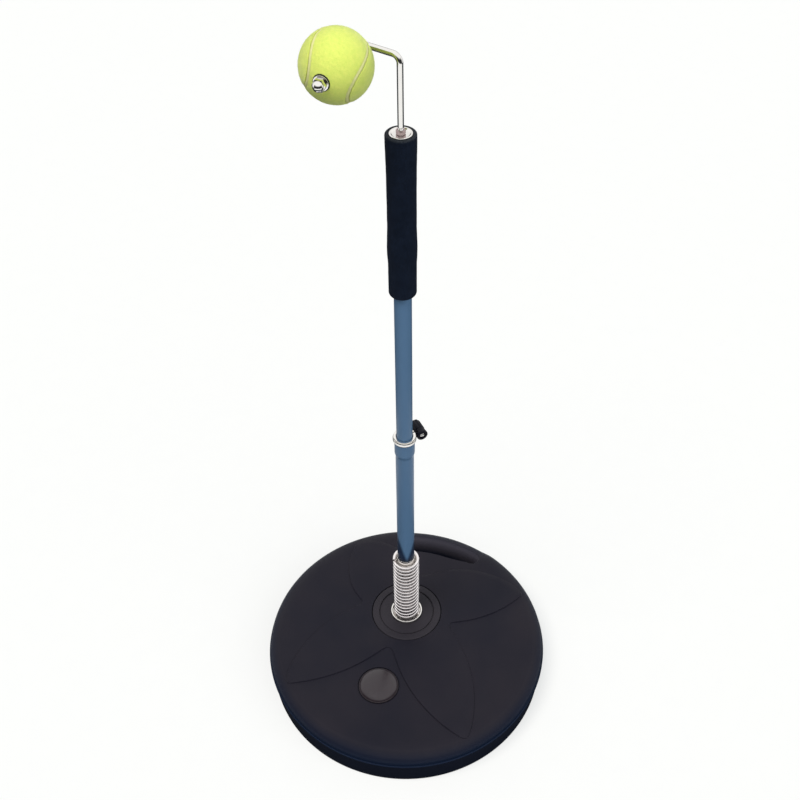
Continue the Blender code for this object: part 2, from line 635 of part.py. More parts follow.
def add_tube(name, points, shares, radius, resolution, surface, at):
    """One open curve with a round section and closed ends."""
    line = bpy.data.curves.new(name, "CURVE")
    line.dimensions = "3D"
    line.bevel_depth = radius
    line.bevel_resolution = resolution
    line.use_fill_caps = True
    spline = line.splines.new("POLY")
    spline.points.add(len(points) - 1)
    for point, place, share in zip(spline.points, points, shares):
        point.co = (*place, 1.0)
        point.radius = share
    line.materials.append(surface)
    tube = bpy.data.objects.new(name, line)
    bpy.context.collection.objects.link(tube)
    tube.location = at
    return tube


def make_lower_pole(paint, steel, chrome, plastic):
    """Sleeve in the spring's top, the lower tube pinned in it, and the bush in its bell."""
    outer = COIL_INNER - GAP
    bore = LOWER_RADIUS + GAP
    sleeve = [(0.0, SLEEVE_FOOT), (outer - EDGE_EASE, SLEEVE_FOOT), (outer, SLEEVE_FOOT + EDGE_EASE)]
    sleeve += arc(((outer + bore) / 2, SLEEVE_TOP - (outer - bore) / 2), ((outer - bore) / 2,) * 2, 0, 180)
    sleeve += [(bore, SLEEVE_FOOT + SLEEVE_FLOOR), (0.0, SLEEVE_FOOT + SLEEVE_FLOOR)]
    sleeve = add_piece("spring_sleeve", turned(sleeve), chrome, POLE)

    inner = LOWER_RADIUS - LOWER_WALL
    bell = LOWER_TOP - BELL_LENGTH
    tube = [(inner, LOWER_FOOT), (LOWER_RADIUS, LOWER_FOOT), (LOWER_RADIUS, bell - BELL_TAPER)]
    tube += [(BELL_RADIUS, bell), (BELL_RADIUS, LOWER_TOP), (BELL_INNER, LOWER_TOP), (BELL_INNER, bell)]
    tube += [(inner, bell - BELL_TAPER)]
    tube = add_piece("lower_tube", turned(tube), paint, POLE)

    across = Matrix.Rotation(math.radians(90), 3, "Y")
    pin_place = POLE + Vector((0.0, 0.0, SLEEVE_FOOT + PIN_HEIGHT))
    half = outer - PIN_SINK
    add_piece("sleeve_pin", rod(PIN_RADIUS, -half, half), steel, pin_place, across)
    drill = rod(PIN_RADIUS + GAP, -outer - OVERCUT, outer + OVERCUT)
    drill = add_piece("guide_pin_hole", drill, steel, pin_place, across)
    shape_with(sleeve, drill)
    shape_with(tube, drill)

    slit_foot, reach = bell + BELL_SLIT_START, BELL_RADIUS + OVERCUT
    shape_with(tube, slit_tool("guide_bell_slit", BELL_SLIT, slit_foot, LOWER_TOP + OVERCUT, reach))

    bush_foot = LOWER_TOP - BUSH_LENGTH
    bush = ring(UPPER_RADIUS + GAP, BELL_INNER - GAP, bush_foot, LOWER_TOP)
    bush = add_piece("glide_bush", bush, plastic, POLE)
    slit = slit_tool("guide_bush_slit", BELL_SLIT, bush_foot - OVERCUT, LOWER_TOP + OVERCUT, BELL_RADIUS)
    shape_with(bush, slit)


def slit_tool(name, width, low, high, reach):
    """Upright blade from the pole axis outwards, at the ears' angle."""
    blade = block((reach, width, high - low), (reach / 2, 0.0, (high + low) / 2))
    turn = Matrix.Rotation(math.radians(EAR_ANGLE), 3, "Z")
    return add_piece(name, blade, bpy.data.materials["chrome"], POLE, turn)


def make_clamp(chrome, steel, gloss, brass):
    """Split collar with two ears, its bolt, and the knob that draws the ears together."""
    inner = BELL_RADIUS + GAP
    outer = inner + COLLAR_WALL
    foot = COLLAR_TOP - COLLAR_HEIGHT
    bead = COLLAR_BEAD
    lip = UPPER_RADIUS + 2 * GAP
    collar = [(inner, foot), (outer + bead / 2, foot), (outer + bead, foot + bead)]
    collar += [(outer, foot + 2.5 * bead)]
    collar += [(outer, COLLAR_TOP - 2.5 * bead), (outer + bead, COLLAR_TOP - 1.4 * bead)]
    collar += [(outer + bead / 2, COLLAR_TOP - bead / 3), (outer - bead / 2, COLLAR_TOP - bead / 2)]
    collar += [(lip + 1.2 * bead, COLLAR_TOP - bead / 2), (lip + bead / 2, COLLAR_TOP)]
    collar += [(lip, COLLAR_TOP - bead / 2)]
    collar += [(lip, COLLAR_TOP - COLLAR_LIP), (inner, COLLAR_TOP - COLLAR_LIP)]
    collar = add_piece("clamp_collar", turned(collar), chrome, POLE)
    reach = CLAMP_BOLT_PLACE + EAR_REACH
    turn = Matrix.Rotation(math.radians(EAR_ANGLE), 3, "Z")
    ear_height = COLLAR_HEIGHT - 2 * bead
    stock = block((reach - inner, 2 * EAR_FACE, ear_height), ((reach + inner) / 2, 0.0, CLAMP_HEIGHT))
    tips = [edge for edge in stock.edges if is_ear_tip(edge, reach)]
    bmesh.ops.bevel(stock, geom=tips, offset=ear_height * EAR_ROUND, segments=4, profile=0.5, affect="EDGES")
    shape_with(collar, add_piece("guide_ears", stock, chrome, POLE, turn), "UNION")
    slit = slit_tool("guide_collar_slit", COLLAR_SLIT, foot - OVERCUT, COLLAR_TOP + OVERCUT, reach + OVERCUT)
    shape_with(collar, slit)

    # The bolt's local +Z points to the front, where its head is
    along = level(EAR_ANGLE - 90.0)
    place = POLE + level(EAR_ANGLE) * CLAMP_BOLT_PLACE + Vector((0.0, 0.0, CLAMP_HEIGHT))
    lie = aim(along)
    hole = rod(CLAMP_BOLT_RADIUS + GAP, -EAR_FACE - OVERCUT, EAR_FACE + OVERCUT)
    shape_with(collar, add_piece("guide_ear_hole", hole, chrome, place, lie))
    cup_foot = EAR_FACE + GAP
    head = cup_foot + HEAD_CUP_FLOOR + GAP
    knob_end = -(EAR_FACE + GAP)
    knob_floor = knob_end - KNOB_WASHER_THICK - GAP
    bore_end = knob_end - KNOB_BORE_DEPTH
    bolt = [(0.0, bore_end + 2 * GAP), (CLAMP_BOLT_RADIUS, bore_end + 2 * GAP), (CLAMP_BOLT_RADIUS, head)]
    bolt += [(CLAMP_HEAD_RADIUS, head), (CLAMP_HEAD_RADIUS, head + CLAMP_HEAD_HEIGHT / 3)]
    dome = (CLAMP_HEAD_RADIUS, CLAMP_HEAD_HEIGHT * 2 / 3)
    bolt += arc((0.0, head + CLAMP_HEAD_HEIGHT / 3), dome, 0, 90, 4)[1:-1]
    bolt += [(0.0, head + CLAMP_HEAD_HEIGHT)]
    add_piece("clamp_bolt", turned(bolt, SMALL_STEPS), steel, place, lie)
    bore = CLAMP_BOLT_RADIUS + GAP
    seat = CLAMP_HEAD_RADIUS + GAP
    rim = head + CLAMP_HEAD_HEIGHT + HEAD_CUP_SINK
    cup = [(bore, cup_foot), (HEAD_CUP_RADIUS, cup_foot), (HEAD_CUP_RADIUS, rim - EDGE_EASE)]
    cup += [(HEAD_CUP_RADIUS - EDGE_EASE, rim), (seat, rim), (seat, head - GAP), (bore, head - GAP)]
    add_piece("bolt_cup", turned(cup), gloss, place, lie)
    washer = ring(bore, KNOB_WASHER_RADIUS, knob_end - KNOB_WASHER_THICK, knob_end, SMALL_STEPS)
    add_piece("knob_washer", washer, steel, place, lie)

    insert_end = knob_floor - INSERT_LENGTH
    insert = ring(bore, INSERT_RADIUS, insert_end, knob_floor - GAP, SMALL_STEPS)
    add_piece("knob_insert", insert, brass, place, lie)
    knob = add_piece("clamp_knob", fluted_knob(knob_end), gloss, place, lie)
    core = [(0.0, bore_end), (bore, bore_end), (bore, insert_end - GAP)]
    core += [(INSERT_RADIUS + GAP, insert_end - GAP), (INSERT_RADIUS + GAP, knob_floor)]
    core += [(KNOB_WASHER_RADIUS + GAP, knob_floor), (KNOB_WASHER_RADIUS + GAP, 0.0), (0.0, 0.0)]
    shape_with(knob, add_piece("guide_knob_bore", turned(core, SMALL_STEPS), gloss, place, lie))


def is_ear_tip(edge, reach):
    """True for the edges across the free ends of the ears."""
    first, second = (vert.co for vert in edge.verts)
    across = abs(first.y - second.y) > EAR_FACE
    return across and min(first.x, second.x) > reach - EAR_REACH / 2


def fluted_knob(near_end):
    """Round grip with shallow flutes, eased at both ends, from the near end backwards."""
    stations = [(0.0, 1.0 - KNOB_EASE / KNOB_RADIUS), (KNOB_EASE, 1.0)]
    for turn in (0, 45, 90):
        drop = 1.0 - math.cos(math.radians(turn))
        reach = KNOB_LENGTH - KNOB_NOSE * (1.0 - math.sin(math.radians(turn)))
        stations.append((reach, 1.0 - (1.0 - KNOB_FACE) * drop))
    loops = []
    for depth, share in stations:
        loop = []
        for i in range(KNOB_FLUTES * 4):
            angle = math.tau * i / (KNOB_FLUTES * 4)
            flute = KNOB_FLUTE_DEPTH * (0.5 + 0.5 * math.cos(KNOB_FLUTES * angle))
            radius = (KNOB_RADIUS - flute) * share
            loop.append((radius * math.cos(angle), radius * math.sin(angle), near_end - depth))
        loops.append(loop)
    return lofted(loops)


def make_upper_pole(paint, foam, plastic, chrome):
    """Upper tube, its foot bush, the foam grip, and the plug and disc that close its head."""
    inner = UPPER_RADIUS - UPPER_WALL
    add_piece("upper_tube", ring(inner, UPPER_RADIUS, UPPER_FOOT, UPPER_TOP), paint, POLE)
    spigot = inner - GAP
    flange_foot = UPPER_FOOT - GAP - FOOT_FLANGE
    bush_bore = spigot - FOOT_BUSH_WALL
    bush = [(bush_bore, flange_foot), (UPPER_RADIUS - EDGE_EASE, flange_foot)]
    bush += [(UPPER_RADIUS, flange_foot + EDGE_EASE), (UPPER_RADIUS, UPPER_FOOT - GAP)]
    bush += [(spigot, UPPER_FOOT - GAP), (spigot, UPPER_FOOT + FOOT_SPIGOT)]
    bush += [(bush_bore, UPPER_FOOT + FOOT_SPIGOT)]
    add_piece("tube_foot_bush", turned(bush, SMALL_STEPS), plastic, POLE)

    seat = HEAD_DISC_FOOT - GAP
    bore = UPPER_RADIUS + GAP
    recess = HEAD_DISC_RADIUS + GAP
    grip = [(bore, GRIP_FOOT)]
    foot_arc = (GRIP_RADIUS - GRIP_FOOT_ROUND, GRIP_FOOT + GRIP_FOOT_ROUND)
    grip += arc(foot_arc, (GRIP_FOOT_ROUND, GRIP_FOOT_ROUND), -90, 0, 3)
    low_swell = GRIP_FOOT + GRIP_SWELL_HEIGHT - GRIP_SWELL_FLAT / 2
    high_swell = low_swell + GRIP_SWELL_FLAT
    full = GRIP_RADIUS + GRIP_SWELL
    flared = GRIP_RADIUS + GRIP_FLARE
    grip += [(GRIP_RADIUS, low_swell - GRIP_SWELL_RISE), (full, low_swell), (full, high_swell)]
    grip += [(GRIP_RADIUS, high_swell + GRIP_SWELL_FALL), (GRIP_RADIUS, GRIP_TOP - GRIP_FLARE_START)]
    grip += [(flared, GRIP_TOP - GRIP_FLARE_FULL)]
    top_arc = (flared - GRIP_TOP_ROUND, GRIP_TOP - GRIP_TOP_ROUND)
    grip += arc(top_arc, (GRIP_TOP_ROUND, GRIP_TOP_ROUND), 0, 90, 3)
    grip += [(recess, GRIP_TOP), (recess, seat), (bore, seat)]
    add_piece("foam_grip", turned(grip), foam, POLE)

    hole = STUD_RADIUS + GAP
    plug_foot = UPPER_TOP - PLUG_SPIGOT
    flange = UPPER_TOP + GAP
    plug = [(hole, plug_foot), (spigot - EDGE_EASE, plug_foot), (spigot, plug_foot + EDGE_EASE)]
    plug += [(spigot, flange), (UPPER_RADIUS, flange), (UPPER_RADIUS, flange + PLUG_FLANGE)]
    plug += [(hole, flange + PLUG_FLANGE)]
    add_piece("head_plug", turned(plug, SMALL_STEPS), plastic, POLE)

    flat = HEAD_DISC_FOOT + HEAD_DISC_THICK
    top = flat + HEAD_DISC_RIM
    edge = HEAD_DISC_RADIUS - HEAD_DISC_EASE
    rim = HEAD_DISC_RADIUS - HEAD_DISC_RIM_WIDTH
    disc = [(hole, HEAD_DISC_FOOT), (edge, HEAD_DISC_FOOT)]
    disc += [(HEAD_DISC_RADIUS, HEAD_DISC_FOOT + HEAD_DISC_EASE)]
    disc += [(HEAD_DISC_RADIUS, top - HEAD_DISC_EASE), (edge, top), (rim, top - HEAD_DISC_EASE / 4)]
    disc += [(rim - HEAD_DISC_SLOPE, flat), (hole, flat)]
    add_piece("head_disc", turned(disc), chrome, POLE)


def rod_line():
    """Stud, upright leg, level leg and axle, joined by two true bends."""
    up = Vector((0.0, 0.0, 1.0))
    along = level(LEG_ANGLE)
    foot = Vector((0.0, 0.0, STUD_FOOT))
    corner = Vector((0.0, 0.0, ROD_HEIGHT))
    back = ROD_CORNER - POLE
    end = BALL_PLACE - POLE + AXLE * (BALL_NUT_FOOT + DOME_NUT_HEX)
    thread = STUD_RADIUS / ROD_RADIUS
    points = [foot, Vector((0.0, 0.0, LOCK_NUT_TOP)), Vector((0.0, 0.0, LOCK_NUT_TOP + GAP))]
    points += bend(corner, up, along, ROD_BEND) + bend(back, along, AXLE, BACK_BEND) + [end]
    shares = [thread, thread] + [1.0] * (len(points) - 2)
    return points, shares


def bend(corner, before, after, radius):
    """Points of a true bend about a corner between two straight runs."""
    turn = before.angle(after)
    start = corner - before * radius * math.tan(turn / 2)
    axis = before.cross(after).normalized()
    middle = start + axis.cross(before) * radius
    arm = start - middle
    return [middle + Matrix.Rotation(turn * i / BEND_STEPS, 3, axis) @ arm for i in range(BEND_STEPS + 1)]


def nut(name, flats, low, high, bore, surface, place, lie=None):
    piece = add_piece(name, hexagon(flats, low, high), surface, place, lie)
    drill = add_piece("guide_" + name, rod(bore, low - OVERCUT, high + OVERCUT), surface, place, lie)
    return shape_with(piece, drill)


def make_rod(chrome, steel):
    """Bent rod with the nuts at its foot, the stops behind the ball and the cap nut."""
    points, shares = rod_line()
    add_tube("swing_rod", points, shares, ROD_RADIUS, 3, chrome, POLE)
    stud = STUD_RADIUS + GAP
    nut("rod_lock_nut", LOCK_NUT_FLATS, LOCK_NUT_FOOT, LOCK_NUT_TOP, stud, chrome, POLE)
    inner_foot = INNER_NUT_TOP - INNER_NUT_HEIGHT
    nut("rod_inner_nut", LOCK_NUT_FLATS, inner_foot, INNER_NUT_TOP, stud, steel, POLE)

    lie = aim(AXLE)
    bore = ROD_RADIUS + GAP
    washer_end = BALL_WASHER_FOOT + BALL_WASHER_THICK
    stop_end = -(BALL_NUT_FOOT + STOP_NUT_HEIGHT)
    nut("stop_nut", STOP_NUT_FLATS, stop_end, -BALL_NUT_FOOT, bore, steel, BALL_PLACE, lie)
    washer = ring(bore, BALL_WASHER_RADIUS, -washer_end, -BALL_WASHER_FOOT, SMALL_STEPS)
    add_piece("rear_washer", washer, steel, BALL_PLACE, lie)
    washer = ring(bore, BALL_WASHER_RADIUS, BALL_WASHER_FOOT, washer_end, SMALL_STEPS)
    add_piece("front_washer", washer, chrome, BALL_PLACE, lie)

    hex_top = BALL_NUT_FOOT + DOME_NUT_HEX
    cap = add_piece("dome_nut", hexagon(DOME_NUT_FLATS, BALL_NUT_FOOT, hex_top), chrome, BALL_PLACE, lie)
    dome_radius = DOME_NUT_FLATS / 2 - DOME_INSET
    dome = [(0.0, BALL_NUT_FOOT + DOME_NUT_HEX / 2), (dome_radius, BALL_NUT_FOOT + DOME_NUT_HEX / 2)]
    dome += arc((0.0, hex_top), (dome_radius, DOME_NUT_HEIGHT - DOME_NUT_HEX), 0, 90, 4)[:-1]
    dome += [(0.0, BALL_NUT_FOOT + DOME_NUT_HEIGHT)]
    shape_with(cap, add_piece("guide_dome", turned(dome, SMALL_STEPS), chrome, BALL_PLACE, lie), "UNION")
    drill = rod(bore, BALL_NUT_FOOT - OVERCUT, hex_top + GAP)
    shape_with(cap, add_piece("guide_cap_bore", drill, chrome, BALL_PLACE, lie))


def seam_frame(step):
    """Point direction, travel direction and side direction of the seam on a unit sphere."""
    def at(t):
        flat = 1.0 - SEAM_BEND / 2
        swing = SEAM_BEND / 2
        x = flat * math.cos(t) + swing * math.cos(3 * t)
        y = flat * math.sin(t) - swing * math.sin(3 * t)
        z = 2.0 * math.sqrt(flat * swing) * math.sin(2 * t)
        return Vector((x, y, z)).normalized()
    t = math.tau * step / SEAM_STEPS
    out = at(t)
    travel = (at(t + 0.001) - at(t - 0.001)).normalized()
    return out, out.cross(travel).normalized()


def seam_band(half_width, low, high):
    """Closed band along the seam, square in section."""
    bm = bmesh.new()
    rings = []
    for step in range(SEAM_STEPS):
        out, side = seam_frame(step)
        corners = [out * low - side * half_width, out * low + side * half_width]
        corners += [out * high + side * half_width, out * high - side * half_width]
        rings.append([bm.verts.new(corner) for corner in corners])
    for here, after in zip(rings, rings[1:] + rings[:1]):
        for i in range(4):
            j = (i + 1) % 4
            bm.faces.new((here[i], here[j], after[j], after[i]))
    return bm


def globe(radius, detail):
    bm = bmesh.new()
    bmesh.ops.create_icosphere(bm, subdivisions=detail, radius=radius)
    return bm


def make_ball(felt, rubber, seam_paste, plastic):
    """Hollow rubber core, two felt halves with the seam between them, and the hub."""
    lie = aim(AXLE)
    skin = lie
    for turn, axis in zip(reversed(SEAM_TURN), "ZYX"):
        skin = skin @ Matrix.Rotation(math.radians(turn), 3, axis)
    core_radius = BALL_RADIUS - FELT - GAP
    drill_radius = HUB_RADIUS + GAP
    past_ball = BALL_RADIUS + OVERCUT
    drill = add_piece("guide_hub_hole", rod(drill_radius, -past_ball, past_ball), rubber, BALL_PLACE, lie)
    core = add_piece("ball_core", globe(core_radius, 3), rubber, BALL_PLACE, skin)
    hollow = add_piece("guide_core_hollow", globe(core_radius - CORE_WALL, 2), rubber, BALL_PLACE, skin)
    shape_with(core, hollow)
    shape_with(core, drill)

    # Each half keeps its own side of a wide band cut along the seam
    low, high = BALL_RADIUS - FELT - OVERCUT / 2, BALL_RADIUS + OVERCUT / 2
    band = add_piece("guide_seam_cut", seam_band(SEAM_WIDTH / 2, low, high), felt, BALL_PLACE, skin)
    inside = add_piece("guide_felt_inside", globe(BALL_RADIUS - FELT, 3), felt, BALL_PLACE, skin)
    seats = []
    for end in (-1, 1):
        first, last = sorted((end * (HUB_SEAT - GAP), end * past_ball))
        bore = rod(HUB_FLANGE_RADIUS + GAP, first, last)
        seat_name = "guide_hub_seat_front" if end > 0 else "guide_hub_seat_back"
        seats.append(add_piece(seat_name, bore, felt, BALL_PLACE, lie))
    for name, keep in (("ball_felt_one", "INTERSECT"), ("ball_felt_two", "DIFFERENCE")):
        half = add_piece(name, globe(BALL_RADIUS, 4), felt, BALL_PLACE, skin)
        for tool in (inside, band, drill, *seats):
            shape_with(half, tool)
        side = add_piece(f"guide_{name}", seam_lid(), felt, BALL_PLACE, skin)
        shape_with(half, side, keep)

    seam = seam_band(SEAM_WIDTH / 2 - GAP, BALL_RADIUS - FELT, BALL_RADIUS - SEAM_SINK)
    seam = add_piece("ball_seam", seam, seam_paste, BALL_PLACE, skin)
    for tool in (drill, *seats):
        shape_with(seam, tool)

    bore = ROD_RADIUS + GAP
    hub = [(bore, -HUB_END), (HUB_FLANGE_RADIUS, -HUB_END), (HUB_FLANGE_RADIUS, -HUB_SEAT)]
    hub += [(HUB_RADIUS, -HUB_SEAT), (HUB_RADIUS, HUB_SEAT), (HUB_FLANGE_RADIUS, HUB_SEAT)]
    hub += [(HUB_FLANGE_RADIUS, HUB_END), (bore, HUB_END)]
    add_piece("ball_hub", turned(hub, SMALL_STEPS), plastic, BALL_PLACE, lie)


def seam_lid():
    """Solid over one side of the seam: a funnel from the centre under a tent far outside."""
    bm = bmesh.new()
    far = 4.0 * BALL_RADIUS
    rim = [bm.verts.new(seam_frame(step)[0] * far) for step in range(SEAM_STEPS)]
    for height in (0.0, far):
        tip = bm.verts.new((0.0, 0.0, height))
        for here, after in zip(rim, rim[1:] + rim[:1]):
            bm.faces.new((tip, here, after))
    return bm


def main():
    clear_scene()
    plastic = finish("base_plastic", (0.030, 0.029, 0.033), 0.50)
    gloss = finish("gloss_plastic", (0.012, 0.012, 0.014), 0.16)
    rubber = finish("rubber", (0.020, 0.020, 0.022), 0.80)
    nylon = finish("nylon", (0.035, 0.036, 0.040), 0.45)
    chrome = finish("chrome", (0.86, 0.86, 0.88), 0.08, 1.0)
    steel = finish("steel", (0.62, 0.62, 0.64), 0.28, 1.0)
    brass = finish("brass", (0.72, 0.55, 0.28), 0.30, 1.0)
    paint = finish("blue_paint", (0.075, 0.145, 0.235), 0.24)
    foam = finish("grip_foam", (0.010, 0.013, 0.022), 0.85)
    felt = finish("felt", (0.76, 0.90, 0.16), 0.95)
    paste = finish("seam_paste", (0.52, 0.55, 0.36), 0.70)
    make_base(plastic)
    make_fill_plug(gloss, rubber)
    make_socket(plastic, steel, chrome)
    make_spring(chrome)
    make_lower_pole(paint, steel, chrome, nylon)
    make_clamp(chrome, steel, gloss, brass)
    make_upper_pole(paint, foam, nylon, chrome)
    make_rod(chrome, steel)
    make_ball(felt, rubber, paste, nylon)


main()
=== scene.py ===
import json
import math

import bmesh
import bpy
import numpy as np
from mathutils import Matrix, Vector, noise


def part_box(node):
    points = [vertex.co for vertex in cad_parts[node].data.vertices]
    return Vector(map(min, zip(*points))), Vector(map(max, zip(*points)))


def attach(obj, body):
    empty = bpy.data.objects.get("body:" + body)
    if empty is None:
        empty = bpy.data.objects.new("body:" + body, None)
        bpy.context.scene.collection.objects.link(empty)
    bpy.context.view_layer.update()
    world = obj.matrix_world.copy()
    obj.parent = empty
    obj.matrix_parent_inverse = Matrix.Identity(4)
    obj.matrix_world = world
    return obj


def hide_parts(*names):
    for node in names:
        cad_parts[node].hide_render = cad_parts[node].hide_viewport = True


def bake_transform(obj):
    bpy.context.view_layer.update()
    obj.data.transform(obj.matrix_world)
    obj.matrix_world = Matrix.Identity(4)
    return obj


# Looks of the tennis swing trainer. Sizes are in metres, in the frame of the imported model.
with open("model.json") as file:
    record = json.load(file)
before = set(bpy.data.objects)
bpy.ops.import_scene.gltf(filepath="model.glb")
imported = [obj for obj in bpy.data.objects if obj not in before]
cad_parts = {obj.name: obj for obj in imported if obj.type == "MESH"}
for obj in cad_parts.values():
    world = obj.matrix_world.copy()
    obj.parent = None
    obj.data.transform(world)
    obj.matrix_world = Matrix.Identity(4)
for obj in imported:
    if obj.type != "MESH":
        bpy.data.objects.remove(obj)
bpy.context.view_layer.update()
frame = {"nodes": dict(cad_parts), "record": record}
scene = bpy.context.scene

poleSpot = Vector((0.0, 0.035, 0.0))    # where the pole stands on the base
gap = 0.0003                            # air between neighbouring pieces
over = 0.004                            # how far a cutting tool reaches past what it cuts
print("frame loaded with", len(frame["nodes"]), "nodes")


# Shapes

def levelWay(angle):
    return Vector((math.cos(math.radians(angle)), math.sin(math.radians(angle)), 0.0))


def turnTo(way):
    return Vector(way).to_track_quat("Z", "Y").to_matrix()


def spanOf(node):
    # foot, top and outer radius of a round upright node
    low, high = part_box(node)
    return low.z, high.z, (high.x - low.x) / 2


def onCircle(radius, angle, height):
    return radius * math.cos(angle), radius * math.sin(angle), height


def roundCorners(corners, steps=4):
    # each corner is (radius, height) or (radius, height, rounding)
    points = []
    count = len(corners)
    fromAxis = corners[0][0] == 0.0
    for i, corner in enumerate(corners):
        here = Vector(corner[:2])
        size = corner[2] if len(corner) > 2 else 0.0
        if size == 0.0 or (fromAxis and i in (0, count - 1)):
            points.append(tuple(here))
            continue
        before = Vector(corners[i - 1][:2]) - here
        after = Vector(corners[(i + 1) % count][:2]) - here
        half = before.angle(after) / 2
        reach = min(size / math.tan(half), before.length * 0.48, after.length * 0.48)
        first = here + before.normalized() * reach
        last = here + after.normalized() * reach
        for k in range(steps + 1):
            s = k / steps
            points.append(tuple(first * (1 - s) ** 2 + here * 2 * s * (1 - s) + last * s * s))
    return points


def domeArc(radius, foot, rise, steps, power=1.0):
    # a quarter turn from the rim up to the axis
    arc = []
    for k in range(steps + 1):
        angle = math.radians(90 * k / steps)
        arc.append((radius * math.cos(angle) if k < steps else 0.0, foot + rise * math.sin(angle) ** power))
    return arc


def joinRings(bm, rings):
    # faces between neighbouring rings of points; a ring of one point makes a tip
    for low, high in zip(rings, rings[1:]):
        for k in range(max(len(low), len(high))):
            n = k + 1
            face = (low[k % len(low)], low[n % len(low)], high[n % len(high)], high[k % len(high)])
            face = list(dict.fromkeys(face))
            if len(face) > 2:
                bm.faces.new(face)


def spinShape(points, steps=72):
    # (radius, height) points turned about Z; off the axis they close into a ring
    bm = bmesh.new()
    rings = []
    for radius, height in points:
        count = steps if radius > 0.0 else 1
        rings.append([bm.verts.new(onCircle(radius, math.tau * k / steps, height)) for k in range(count)])
    joinRings(bm, rings + rings[:1] if points[0][0] > 0.0 else rings)
    return bm


def stackLoops(loops):
    # loops with the same count of points, joined and closed by flat ends
    bm = bmesh.new()
    rings = [[bm.verts.new(point) for point in loop] for loop in loops]
    joinRings(bm, rings)
    bm.faces.new(rings[0])
    bm.faces.new(rings[-1])
    return bm


def sweepRound(line, radius, sides, shares=None):
    # round wire along a line of points; shares make it thicker or thinner at each of them
    loops = []
    normal = None
    for k, point in enumerate(line):
        ahead = line[min(k + 1, len(line) - 1)] - line[max(k - 1, 0)]
        ahead.normalize()
        if normal is None:
            normal = ahead.orthogonal().normalized()
        normal = (normal - ahead * normal.dot(ahead)).normalized()
        side = ahead.cross(normal)
        size = radius * (shares[k] if shares else 1.0)
        turns = [math.tau * j / sides for j in range(sides)]
        loops.append([point + normal * size * math.cos(a) + side * size * math.sin(a) for a in turns])
    return stackLoops(loops)


def smoothOver(mesh, sharp):
    # edges that bend by more than this many degrees stay sharp
    mesh.shade_smooth()
    mesh.set_sharp_from_angle(angle=math.radians(sharp))


def makePiece(name, bm, finish, at=(0.0, 0.0, 0.0), turn=None, sharp=35.0):
    bmesh.ops.recalc_face_normals(bm, faces=bm.faces)
    mesh = bpy.data.meshes.new(name)
    bm.to_mesh(mesh)
    bm.free()
    if finish is not None:
        mesh.materials.append(finish)
    smoothOver(mesh, sharp)
    piece = bpy.data.objects.new(name, mesh)
    scene.collection.objects.link(piece)
    place = Matrix.Translation(at)
    piece.matrix_world = place @ turn.to_4x4() if turn is not None else place
    return piece


def drillTool(name, radius, low, high, steps, at, turn=None):
    points = [(0.0, low), (radius, low), (radius, high), (0.0, high)]
    return makePiece(name, spinShape(points, steps), None, at, turn)


def bakeMesh(piece, sharp):
    # takes the modifiers into the mesh
    bpy.context.view_layer.update()
    seen = piece.evaluated_get(bpy.context.evaluated_depsgraph_get())
    mesh = bpy.data.meshes.new_from_object(seen)
    piece.modifiers.clear()
    piece.data = mesh
    smoothOver(mesh, sharp)


def carve(piece, *tools, how="DIFFERENCE", sharp=35.0):
    for tool in tools:
        step = piece.modifiers.new(tool.name, "BOOLEAN")
        step.operation = how
        step.solver = "EXACT"
        step.object = tool
    bakeMesh(piece, sharp)
    for tool in tools:
        bpy.data.objects.remove(tool, do_unlink=True)
    return piece


def settle(piece, body, node):
    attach(piece, body)
    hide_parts(node)


def addTurned(name, corners, finish, body, node, at, turn=None, easing=4, steps=96, sharp=60):
    # a turned piece with rounded corners, straight onto its body
    piece = makePiece(name, spinShape(roundCorners(corners, easing), steps), finish, at, turn, sharp)
    settle(piece, body, node)


# Finishes

def feed(tree, socket, value):
    # value is a number, a colour or another node's output
    if isinstance(value, bpy.types.NodeSocket):
        tree.links.new(value, socket)
    elif socket.type == "RGBA":
        socket.default_value = (*value, 1.0)
    else:
        socket.default_value = value


def addNode(tree, kind, inputs, **settings):
    node = tree.nodes.new("ShaderNode" + kind)
    for name, value in settings.items():
        setattr(node, name, value)
    for name, value in inputs.items():
        feed(tree, node.inputs[name], value)
    return node


def placeOn(tree, kind="Object"):
    # X, Y and Z of a place on the piece
    place = tree.nodes.new("ShaderNodeTexCoord").outputs[kind]
    return addNode(tree, "SeparateXYZ", {"Vector": place}).outputs


def addNoise(tree, grain, detail=3.0, rough=0.55, stretch=None):
    # grain is the size of a spot in metres
    place = tree.nodes.new("ShaderNodeTexCoord").outputs["Object"]
    if stretch is not None:
        place = addNode(tree, "Mapping", {"Vector": place, "Scale": stretch}).outputs["Vector"]
    spots = {"Vector": place, "Scale": 1.0 / grain, "Detail": detail, "Roughness": rough}
    return addNode(tree, "TexNoise", spots).outputs["Fac"]


def spread(tree, value, low, high, start=0.3, stop=0.7):
    # turns start to stop into low to high
    ends = {"Value": value, "From Min": start, "From Max": stop, "To Min": low, "To Max": high}
    return addNode(tree, "MapRange", ends).outputs["Result"]


def joinMath(tree, how, first, second):
    return addNode(tree, "Math", {0: first, 1: second}, operation=how).outputs[0]


def band(tree, value, start, full, falls, stop):
    # 1 from full to falls, fading out to start and stop
    rising = spread(tree, value, 0.0, 1.0, start, full)
    return joinMath(tree, "MULTIPLY", rising, spread(tree, value, 1.0, 0.0, falls, stop))


def blendColors(tree, value, first, second):
    # sockets 6 and 7 are the two colours, output 2 is their blend
    return addNode(tree, "Mix", {0: value, 6: first, 7: second}, data_type="RGBA").outputs[2]


def mottle(tree, spots, first, second):
    # two colours in soft spots; spots are (grain, detail, rough, stretch)
    return blendColors(tree, spread(tree, addNoise(tree, *spots), 0.0, 1.0), first, second)


